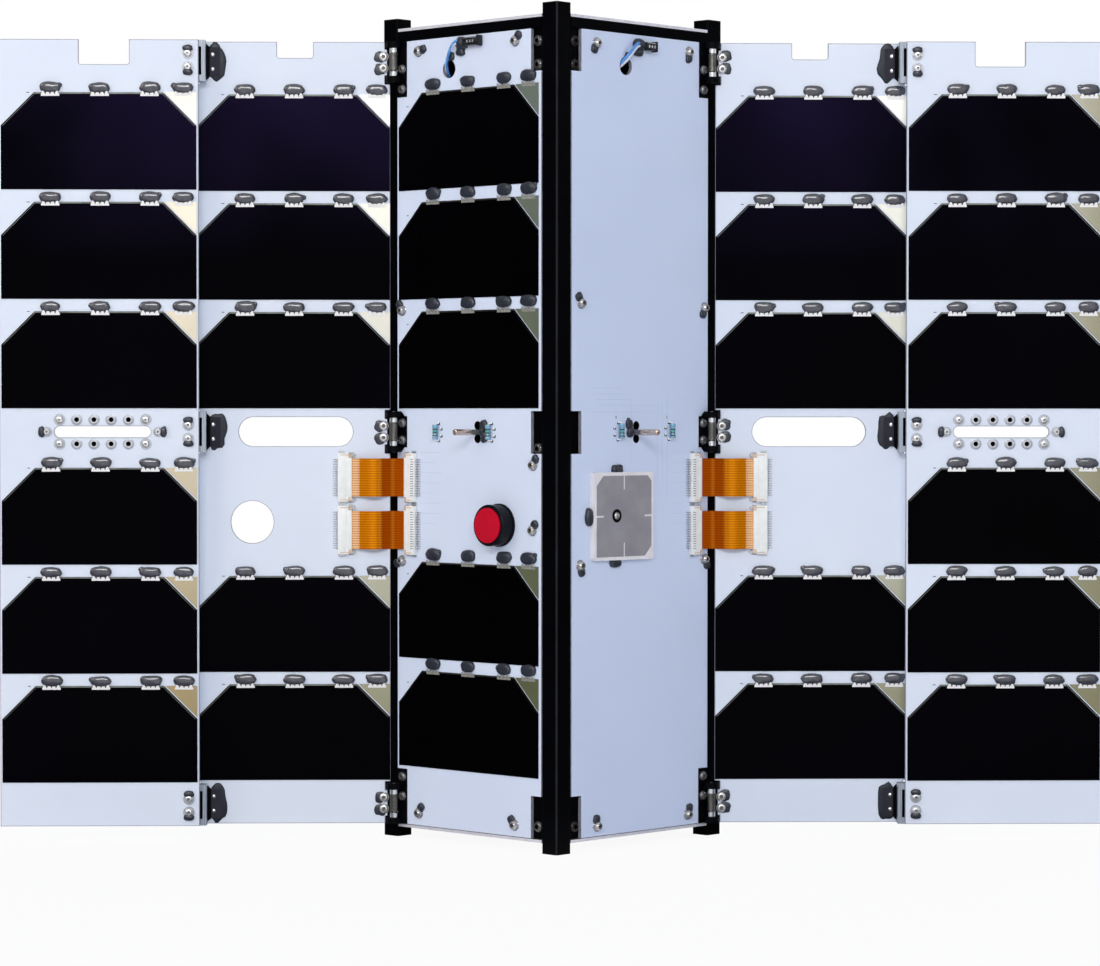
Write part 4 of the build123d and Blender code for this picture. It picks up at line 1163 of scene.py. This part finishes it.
def hinge_parts(side):
    """Springs and knuckle rings on the root pins, strips of painted shade, and screws, rivets and epoxy of both
    hinge lines.
    """
    hand = SIDES[side]
    inner, outer = "inner_" + side, "outer_" + side
    coils = [(COIL, on_pin(hand, z)) for z in HINGE_Z.values()]
    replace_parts(assemble("springs_" + side, "bus", [SPRING], coils), "root_springs_" + side)
    rings = [(KNUCKLE_RING, on_pin(hand, z + up)) for z in HINGE_Z.values() for up in (-4.85, 4.85)]
    assemble("knuckle_rings_" + side, inner, [BRIGHT], rings)
    shade_strips = [(SHADE_STRIP, on_wing(hand * (ROOT_X + 2.3), z, INNER_FRONT)) for z in HINGE_Z.values()]
    assemble("hinge_shade_strips_" + side, inner, [HINGE_BLACK], shade_strips)

    panel_screws, inner_epoxy, beds, rivets, outer_steel, outer_epoxy = [], [], [], [], [], []
    for number, z in enumerate(HINGE_Z.values()):
        for up in (-2.4, 2.4):
            place = on_wing(hand * PANEL_SCREW_X, z + up, INNER_FRONT)
            panel_screws.append((PANEL_SCREW, place @ spun(9 * number)))
            lean = 0.35 * hand + (0.25 if up > 0 else -0.1)
            bead = drop(number + up + hand, 4.7, 4.9, 0.72, 0.2)
            inner_epoxy.append((bead, place @ shifted(hand * 1.5, lean)))
            panel_screws.append((TAIL, behind_wing(hand * PANEL_SCREW_X, z + up, INNER_FRONT, LEAF_THICK)))
        for up in (-3.0, 3.0):
            rivets.append((RIVET, on_wing(hand * RIVET_X, z + up, INNER_FRONT - BRACKET_THICK)))
            rivets.append((TAIL, behind_wing(hand * RIVET_X, z + up, INNER_FRONT)))
        bed = drop(30 + number + hand, 8.0, 15.2, 0.8, 0.34)
        beds.append((bed, on_wing(hand * BED_X, z + 0.3, INNER_FRONT)))
        for up in (-2.75, 2.75):
            place = on_wing(hand * OUTER_SCREW_X, z + up, OUTER_FRONT)
            outer_steel.append((HINGE_SCREW, place @ spun(21 * number)))
            outer_steel.append((TAIL, behind_wing(hand * OUTER_SCREW_X, z + up, OUTER_FRONT, LEAF_THICK)))
            beyond = shifted(0, math.copysign(2.1, up))
            outer_epoxy.append((drop(50 + number + up, 4.4, 2.8, 1.6), place @ beyond))
    assemble("hinge_screws_" + inner, inner, [NICKEL, STEEL_SOCKET_SHADE, WASHER], panel_screws)
    assemble("hinge_epoxy_" + inner, inner, [EPOXY], inner_epoxy, smooth=60)
    assemble("hinge_beds_" + side, inner, [EPOXY_BED_SHADED], beds, smooth=60)
    assemble("hinge_rivets_" + side, inner, [BRIGHT], rivets)
    assemble("hinge_screws_" + outer, outer, [NICKEL, NICKEL_SHADE, WASHER], outer_steel)
    assemble("hinge_epoxy_" + outer, outer, [EPOXY], outer_epoxy, smooth=60)


for side in SIDES:
    hinge_parts(side)


# Lacing eyelets and slot rims

SLOT_X = ROOT_X + 120.0
LACE_PITCH = 7.1
LACE_ROW = 5.0
SLOT_WIDE = 39.8
SLOT_HIGH = 4.6
END_SCREW_REACH = 22.9


def eyelet():
    """A rolled eyelet on its flat washer."""
    shape = lathe([(0.98, 0), (0.98, 0.5), (1.15, 0.68), (1.4, 0.68), (1.68, 0.42), (1.72, 0.2), (2.2, 0.2),
                   (2.35, 0.1), (2.35, 0), (0.98, 0)])
    paint(shape, lambda at: math.hypot(at.x, at.y) > 1.75)
    return mesh_of(shape)


EYELET = eyelet()
LACE_SCREW = screw(1.75, 1.2, 0.6, 2.35)
END_SCREW = screw(1.65, 1.5, 0.62, 2.1)


def lacing(side):
    """Two rows of eyelets with a screw at each end, and a screw at each end of the slot."""
    hand = SIDES[side]
    middle = hand * SLOT_X
    body = "outer_" + side
    rings, screws, drops = [], [], []
    for row in (MIDDLE_Z - LACE_ROW, MIDDLE_Z + LACE_ROW):
        for number in range(6):
            x = middle + (number - 2.5) * LACE_PITCH
            if number in (0, 5):
                screws.append((LACE_SCREW, on_wing(x, row, OUTER_FRONT)))
                screws.append((TAIL, behind_wing(x, row, OUTER_FRONT)))
            else:
                rings.append((EYELET, on_wing(x, row, OUTER_FRONT)))
    for end in (-1, 1):
        x = middle + end * END_SCREW_REACH
        place = on_wing(x, MIDDLE_Z, OUTER_FRONT)
        screws += [(END_SCREW, place), (END_SCREW, behind_wing(x, MIDDLE_Z, OUTER_FRONT))]
        drops.append((drop(60 + end + hand, 2.8, 4.6, 1.5), place @ shifted(end * 2.2, 0)))
    assemble("eyelets_" + side, body, [EYELET_TIN, WASHER], rings)
    assemble("lacing_screws_" + side, body, [NICKEL, NICKEL_SHADE, WASHER], screws)
    assemble("lacing_epoxy_" + side, body, [EPOXY], drops, smooth=60)
    rim = mesh_of(plate(stadium(SLOT_WIDE + 1.0, SLOT_HIGH + 1.0), 0, 0.06, rim=0.5))
    places = (on_wing(middle, MIDDLE_Z, OUTER_FRONT), behind_wing(middle, MIDDLE_Z, OUTER_FRONT))
    assemble("slot_rim_outer_" + side, body, [RIM], [(rim, place) for place in places])


for side in SIDES:
    lacing(side)


# End plates: countersunk screws along their edges

def plate_screws():
    head = screw(1.9, 0.5, 0.8)
    top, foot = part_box("top_plate")[1].z / MM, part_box("bottom_plate")[0].z / MM
    places = []
    for x, y in [(32.5, 32.5), (-32.5, 32.5), (32.5, -32.5), (-32.5, -32.5), (52, 0), (-52, 0), (0, 52),
                 (0, -52)]:
        places.append((head, place_of((x, y, top), (1, 0, 0), (0, 0, 1))))
        places.append((head, place_of((x, y, foot), (1, 0, 0), (0, 0, 1)) @ tipped(180)))
    assemble("plate_screws", "bus", [STEEL, STEEL_SOCKET_SHADE], places)


plate_screws()


# Floor, light and camera

def studio():
    """A pale floor and world that show white, soft lamps, and the photograph's viewing angle."""
    scene = bpy.context.scene
    floor = bmesh.new()
    bmesh.ops.create_grid(floor, x_segments=1, y_segments=1, size=60)
    bmesh.ops.translate(floor, verts=floor.verts, vec=(0, 0, -0.0002))
    mesh = bpy.data.meshes.new("floor")
    floor.to_mesh(mesh)
    floor.free()
    ground = bpy.data.objects.new("floor", mesh)
    scene.collection.objects.link(ground)
    material, tree, shader = base("pale matt floor", "#ECEDEF", 0.85, Specular_IOR_Level=0.1)
    place = add(tree, "TexCoord", {}).outputs["Object"]
    away = add(tree, "VectorMath", {0: place}, operation="LENGTH").outputs["Value"]
    far = add(tree, "MapRange", {"Value": away, "From Min": 0.5, "From Max": 3.0, "To Min": 0.93,
                                 "To Max": 1.0}).outputs["Result"]
    seen = add(tree, "Math", {0: seen_rays(tree), 1: far}, operation="MULTIPLY").outputs[0]
    white = add(tree, "Emission", {"Color": "#FFFFFF", "Strength": flagged(tree, place)}).outputs[0]
    shown = add(tree, "MixShader", {0: seen, 1: shader.outputs[0], 2: white}).outputs[0]
    tree.links.new(shown, tree.nodes["Material Output"].inputs["Surface"])
    mesh.materials.append(material)

    world = bpy.data.worlds.new("pale studio")
    scene.world = world
    world.use_nodes = True
    tree = world.node_tree
    plain = add(tree, "Background", {"Color": "#E6EDFB", "Strength": AMBIENT}).outputs[0]
    ahead = add(tree, "TexCoord", {}).outputs["Generated"]
    shown = add(tree, "Background", {"Color": "#FFFFFF", "Strength": flagged(tree, ahead)}).outputs[0]
    mixed = add(tree, "MixShader", {0: seen_rays(tree), 1: plain, 2: shown}).outputs[0]
    tree.links.new(mixed, tree.nodes["World Output"].inputs["Surface"])

    for name, place, size, watts, colour in LAMPS:
        light = bpy.data.lights.new(name, "AREA")
        light.shape = "RECTANGLE"
        light.size, light.size_y = size
        light.energy = watts
        light.color = linear(colour)[:3]
        lamp = bpy.data.objects.new(name, light)
        lamp.location = place
        lamp.rotation_euler = (LAMP_AIM - Vector(place)).to_track_quat("-Z", "Y").to_euler()
        scene.collection.objects.link(lamp)

    # The camera's place, turn and lens are fitted to the rails' ends and the wings' corners in the photograph.
    data = bpy.data.cameras.new("camera")
    data.sensor_width = 36.0
    data.lens = 113.36
    camera = bpy.data.objects.new("camera", data)
    camera.location = (-0.03554, -1.45009, 0.17698)
    camera.rotation_euler = (math.pi / 2 - 0.0204, -0.0003, -0.0238)
    scene.collection.objects.link(camera)
    scene.camera = camera
    scene.view_settings.view_transform = "Standard"


def seen_rays(tree):
    """1 for the rays that show the background: straight, in a reflection or through glass."""
    path = add(tree, "LightPath", {}).outputs
    glossy = add(tree, "Math", {0: path["Is Camera Ray"], 1: path["Is Glossy Ray"]}, operation="MAXIMUM")
    return add(tree, "Math", {0: glossy.outputs[0], 1: path["Is Transmission Ray"]},
               operation="MAXIMUM").outputs[0]


def flagged(tree, place):
    """White, and in reflections dark towards both sides, where black flags stand beside the table."""
    across = add(tree, "SeparateXYZ", {"Vector": place}).outputs["X"]
    size = add(tree, "Math", {0: across}, operation="ABSOLUTE").outputs[0]
    length = add(tree, "VectorMath", {0: place}, operation="LENGTH").outputs["Value"]
    share = add(tree, "Math", {0: size, 1: length}, operation="DIVIDE").outputs[0]
    dark = add(tree, "MapRange", {"Value": share, "From Min": 0.35, "From Max": 0.85, "To Max": 0.88})
    glossy = add(tree, "LightPath", {}).outputs["Is Glossy Ray"]
    taken = add(tree, "Math", {0: glossy, 1: dark.outputs["Result"]}, operation="MULTIPLY").outputs[0]
    return add(tree, "Math", {0: 1.0, 1: taken}, operation="SUBTRACT").outputs[0]


AMBIENT = 0.5
LAMP_AIM = Vector((0, 0, 0.17))
# Name, place, size, watts and colour
LAMPS = [
    ("front softbox", (-0.15, -2.1, 1.0), (1.4, 0.45), 18.0, "#FFFFFF"),
    ("left softbox", (-1.7, -1.1, 1.2), (1.2, 1.2), 12.0, "#FFF5E8"),
    ("right softbox", (2.3, -0.4, 0.9), (1.0, 1.0), 4.5, "#FFFFFF"),
    ("rear softbox", (0.5, 2.0, 1.6), (1.4, 1.0), 15.0, "#FFFFFF"),
]
studio()
